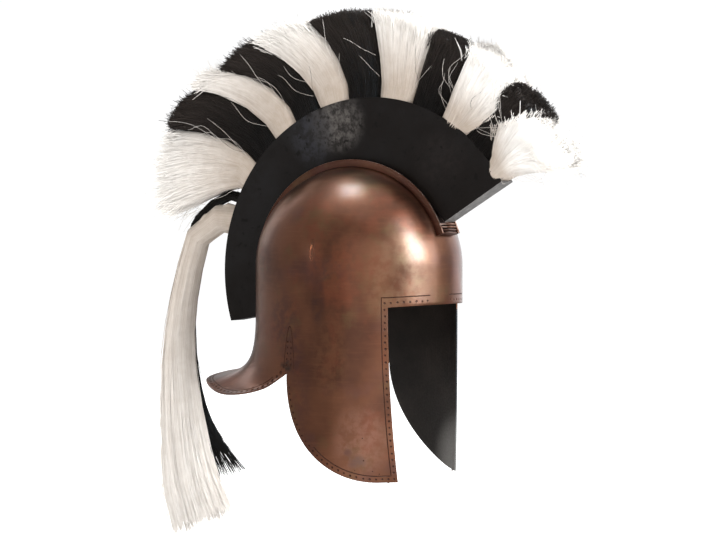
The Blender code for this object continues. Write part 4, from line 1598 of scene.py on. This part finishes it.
def tail_route(angles, table):
    """A tail's route from inside the box: fine rows of forward, up, side and half sizes, the run
    along them, and the run at the end of the table.
    """
    rows = np.array(table, float)
    middle = sum(angles) / 2
    mouth = np.array(box_arc(middle)[0])
    foot = np.array(box_foot(middle))
    inside = mouth + (foot - mouth) / np.linalg.norm(foot - mouth) * TAIL_INSIDE
    width = np.linalg.norm(np.array(box_arc(angles[0])[0]) - np.array(box_arc(angles[1])[0]))
    start = [(*at, 0.0, width * TAIL_MOUTH_HALF_DEPTH, TAIL_MOUTH_HALF_SIDE)
             for at in (inside, mouth)]
    beyond = rows[-1] * 1.8 - rows[-2] * 0.8
    beyond[3:] = rows[-1, 3:] * 1.08
    corners = np.concatenate([start, rows, [beyond]])
    fine = line_array(corners, TAIL_STATIONS)
    run = run_along(fine[:, :3])
    full = np.interp(len(corners) - 2, np.linspace(0, len(corners) - 1, TAIL_STATIONS), run)
    return fine, run, full


def in_tail(route, t, u, v):
    """(forward, up) points and sides in a tail: t along it, u and v in its section."""
    fine, run, full = route
    forward, up, side, half_depth, half_side = (
        np.interp(t * full, run, fine[:, k]) for k in range(len(TAIL_COLUMNS)))
    middle = np.stack([forward, up], axis=-1)
    across = outward(middle)
    return middle + across * (u * half_depth)[..., None], side + v * half_side, across


def tail_shade(t):
    # Darker at the root: the hair's own tint together with painted shade near the box.
    return 0.03 + 0.70 * np.clip(t, 0.0, 1.0) ** 1.1


def tail_hairs(draw, route, ends, count, radius, low=0.9, high=1.0):
    """Long hairs of a tail, low to high of the way out in its section."""
    turn = draw.uniform(0, 2 * math.pi, count)
    out = draw.uniform(low, high, count)
    u, v = (out * np.cos(turn))[:, None], (out * np.sin(turn))[:, None]
    reach = 1.0 - np.abs(draw.normal(0, ends["ragged"], count)) + 0.008 * np.sin(turn * 5)
    share = np.linspace(0, 1, 12)
    t = share[None, :] * np.clip(reach, 0.55, 1.04)[:, None]
    loose = 1.0 + ends["splay"] * np.clip((t - 0.8) / 0.2, 0.0, None) ** 2
    flat, sideways, across = in_tail(route, t, u * loose, v * loose)
    size = ends["wander"]
    broad = waves(draw, count, t, size, TAIL_WAVE_PACE)
    fine = waves(draw, count, t, size * FINE_WAVE_SHARE, FINE_WAVE_PACE)
    flat = flat + across * (broad + fine)[..., None]
    sideways = sideways + waves(draw, count, t, size, TAIL_WAVE_PACE)
    paths = solid_line(flat, sideways)
    thick = thickness(draw, paths, radius, 0.5)
    shade = tail_shade(t) + draw.normal(0, 0.05, count)[:, None]
    facing = facing_out(flat, u, v, t)
    return paths, thick, np.clip(shade, 0.0, 1.0), facing


def tail_core(route, size):
    """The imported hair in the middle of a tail: rings and their shades."""
    turn = np.linspace(0, 2 * math.pi, TAIL_CORE_SIDES, endpoint=False)[:, None]
    t = np.linspace(0.0, TAIL_CORE_END, TAIL_CORE_RINGS)
    out = size * np.minimum(1.0, (0.965 - t) / 0.14) ** 0.5
    flat, sideways, _ = in_tail(route, np.tile(t, (TAIL_CORE_SIDES, 1)), np.cos(turn) * out,
                                np.sin(turn) * out)
    rings = solid_line(flat, sideways).transpose(1, 0, 2)
    return rings, tail_shade(t)


class HELMET_OT_tails(bpy.types.Operator):
    """The long black tail and the long white tail at the rear"""

    bl_idname = "helmet.tails"
    bl_label = "Long tails"

    def execute(self, context):
        settings = context.scene.helmet_hair
        finishes = hair_finishes("_tail_hair", 1.6)
        draw = np.random.default_rng(settings.seed + 1)
        for kind, tail in TAILS.items():
            count = getattr(settings, f"tail_{kind}_hairs")
            route = tail_route(tail["angles"], tail["table"])
            splayed = {**tail, "splay": tail["splay"] * 1.5}
            loose = {**tail, "wander": tail["wander"] * 3}
            batches = [
                tail_hairs(draw, route, tail, count, settings.radius),
                tail_hairs(draw, route, splayed, count // 3, settings.radius, 0.1, 0.9),
                tail_hairs(draw, route, loose, count // 14, settings.radius, 1.0, 1.08),
            ]
            hair = hair_piece(f"tail_of_{kind}_hair", batches, finishes[kind], SOFTNESS[kind],
                              tail_core(route, tail["core"]))
            place(hair, f"tail_{kind}")
        return {"FINISHED"}


# Stage


# Soft lamps round the helmet. "on" says whether a lamp gives shine to the metal, light to dull
# surfaces, or both, and "cool" how cool its colour is.
LAMP_COLUMNS = ("name", "azimuth", "height", "distance", "width", "tall", "power", "on", "cool")
LAMPS = (
    ("front_core", -9.0, 21.0, 1.7, 0.56, 0.90, 47.0, "shine", 0.62),
    ("front_softbox", 1.0, 26.0, 1.7, 1.40, 1.80, 42.0, "shine", 0.35),
    ("top_core", -158.0, 75.0, 1.6, 0.50, 0.34, 9.5, "shine", 0.6),
    ("ceiling", -100.0, 78.0, 2.0, 2.0, 2.0, 10.5, "both", 0.0),
    ("left_softbox", -65.0, 8.0, 2.0, 1.6, 1.6, 5.0, "both", 0.0),
    ("low_reflector", -32.0, -17.0, 1.2, 1.3, 0.16, 0.8, "shine", 0.0),
    ("right_softbox", 62.0, 40.0, 2.0, 1.8, 1.2, 9.0, "both", 0.0),
    ("rim_softbox", 85.0, 10.0, 2.0, 1.8, 1.2, 6.5, "shine", 0.1),
    ("rear_softbox", 160.0, 25.0, 2.0, 1.2, 1.2, 4.0, "shine", 0.0),
    ("side_strip", -122.0, 10.0, 1.8, 0.02, 0.40, 0.30, "shine", 0.0),
    ("side_fill", -75.0, 25.0, 2.6, 1.8, 1.4, 22.0, "light", 0.0),
    ("front_fill", 0.0, 25.0, 2.4, 1.2, 1.2, 82.0, "light", 0.0),
    ("rear_fill", 120.0, 45.0, 2.6, 1.8, 1.2, 24.0, "light", 0.0),
    ("back_fill", -170.0, 30.0, 2.6, 1.8, 1.2, 16.0, "light", 0.0),
)
LAMPS_AIM = (0.0, 0.0, -0.105)
# How much red, green and blue a fully cool lamp loses
COOL_LOSS = (0.9, 0.4, 0.0)
FLOOR_RADIUS = 16.0
FLOOR_BELOW = 0.03
BACKDROP_RADIUS = 17.0
BACKDROP_GLOW = 1.02
CAMERA_PLACE = (-1.6274, -1.1611, -0.0654)
CAMERA_AIM = (0.0, 0.0, -0.1108)
WHITE = (1.0, 1.0, 1.0)


def turned(thing, direction, ahead):
    """Turns an object so that its axis ahead lies along a direction, its Y axis up."""
    thing.rotation_mode = "QUATERNION"
    thing.rotation_quaternion = direction.to_track_quat(ahead, "Y")


def lamp(values, strength):
    """A soft rectangular lamp that faces the skull from a direction round it."""
    info = row(LAMP_COLUMNS, values)
    turn, rise = math.radians(info["azimuth"]), math.radians(info["height"])
    out = Vector((
        math.sin(turn) * math.cos(rise), -math.cos(turn) * math.cos(rise), math.sin(rise),
    ))
    data = bpy.data.lights.new(info["name"], "AREA")
    data.shape = "RECTANGLE"
    data.size = info["width"]
    data.size_y = info["tall"]
    data.energy = info["power"] * strength
    data.color = [1.0 - loss * info["cool"] for loss in COOL_LOSS]
    thing = linked(info["name"], data)
    thing.location = Vector(LAMPS_AIM) + out * info["distance"]
    turned(thing, out, "Z")
    thing.visible_camera = False
    thing.visible_glossy = info["on"] != "light"
    thing.visible_diffuse = info["on"] != "shine"


class HELMET_OT_stage(bpy.types.Operator):
    """Pale floor, soft studio light and the camera"""

    bl_idname = "helmet.stage"
    bl_label = "Stage"

    def execute(self, context):
        scene = context.scene
        settings = scene.helmet_stage
        form = bmesh.new()
        bmesh.ops.create_circle(form, cap_ends=True, segments=96, radius=FLOOR_RADIUS)
        finish = Finish("pale_floor", {
            "Roughness": 0.9, "Specular IOR Level": 0.0, "Emission Color": WHITE,
            "Emission Strength": settings.floor_glow,
        })
        floor = built("floor", form, [finish.painted(
            finish.noise(3.0, 3.0, 0.5), shaded(WHITE, 0.79), shaded(WHITE, 0.81))])
        floor.location.z = CAD_BOX[0][2] - FLOOR_BELOW
        floor.visible_glossy = False

        form = bmesh.new()
        bmesh.ops.create_icosphere(form, subdivisions=4, radius=BACKDROP_RADIUS)
        bmesh.ops.reverse_faces(form, faces=form.faces)
        backdrop = built("backdrop", form, [Finish("pale_backdrop", {
            "Roughness": 1.0, "Specular IOR Level": 0.0, "Base Color": (0.0, 0.0, 0.0),
            "Emission Color": WHITE, "Emission Strength": BACKDROP_GLOW,
        }).material])
        backdrop.visible_diffuse = backdrop.visible_glossy = backdrop.visible_shadow = False

        world = bpy.data.worlds.new("surround")
        world.use_nodes = True
        sky = world.node_tree.nodes["Background"]
        sky.inputs["Color"].default_value = (*WHITE, 1.0)
        sky.inputs["Strength"].default_value = settings.surround
        scene.world = world
        scene.view_settings.view_transform = "Standard"
        for values in LAMPS:
            lamp(values, settings.light)

        data = bpy.data.cameras.new("camera")
        data.lens = settings.lens
        data.sensor_width = 36.0
        data.clip_start = 0.05
        data.clip_end = 100.0
        camera = linked("camera", data)
        camera.location = CAMERA_PLACE
        turned(camera, Vector(CAMERA_AIM) - camera.location, "-Z")
        scene.camera = camera
        return {"FINISHED"}


STEPS = (
    ("helmet.skull", "helmet_skull"),
    ("helmet.channel", "helmet_metal"),
    ("helmet.box", "helmet_metal"),
    ("helmet.tufts", "helmet_hair"),
    ("helmet.tails", "helmet_hair"),
    ("helmet.stage", "helmet_stage"),
)


class HELMET_PT_panel(bpy.types.Panel):
    """Steps of making the helmet, with their sizes and colours"""

    bl_idname = "HELMET_PT_panel"
    bl_label = "Greek Helmet"
    bl_space_type = "VIEW_3D"
    bl_region_type = "UI"
    bl_category = "Helmet"

    def draw(self, context):
        layout = self.layout
        shown = set()
        for operator, group in STEPS:
            column = layout.column(align=True)
            column.operator(operator)
            if group in shown:
                continue
            shown.add(group)
            settings = getattr(context.scene, group)
            for name in settings.bl_rna.properties.keys():
                if name not in ("rna_type", "name"):
                    column.prop(settings, name)


GROUPS = (
    ("helmet_skull", SkullSettings),
    ("helmet_metal", MetalSettings),
    ("helmet_hair", HairSettings),
    ("helmet_stage", StageSettings),
)
CLASSES = (
    HELMET_OT_skull, HELMET_OT_channel, HELMET_OT_box, HELMET_OT_tufts, HELMET_OT_tails,
    HELMET_OT_stage, HELMET_PT_panel,
)


def register():
    for name, group in GROUPS:
        bpy.utils.register_class(group)
        setattr(bpy.types.Scene, name, PointerProperty(type=group))
    for cls in CLASSES:
        bpy.utils.register_class(cls)


def unregister():
    for cls in reversed(CLASSES):
        bpy.utils.unregister_class(cls)
    for name, group in reversed(GROUPS):
        delattr(bpy.types.Scene, name)
        bpy.utils.unregister_class(group)


def main():
    register()
    for operator, _ in STEPS:
        family, name = operator.split(".")
        getattr(getattr(bpy.ops, family), name)()


if __name__ == "__main__":
    main()
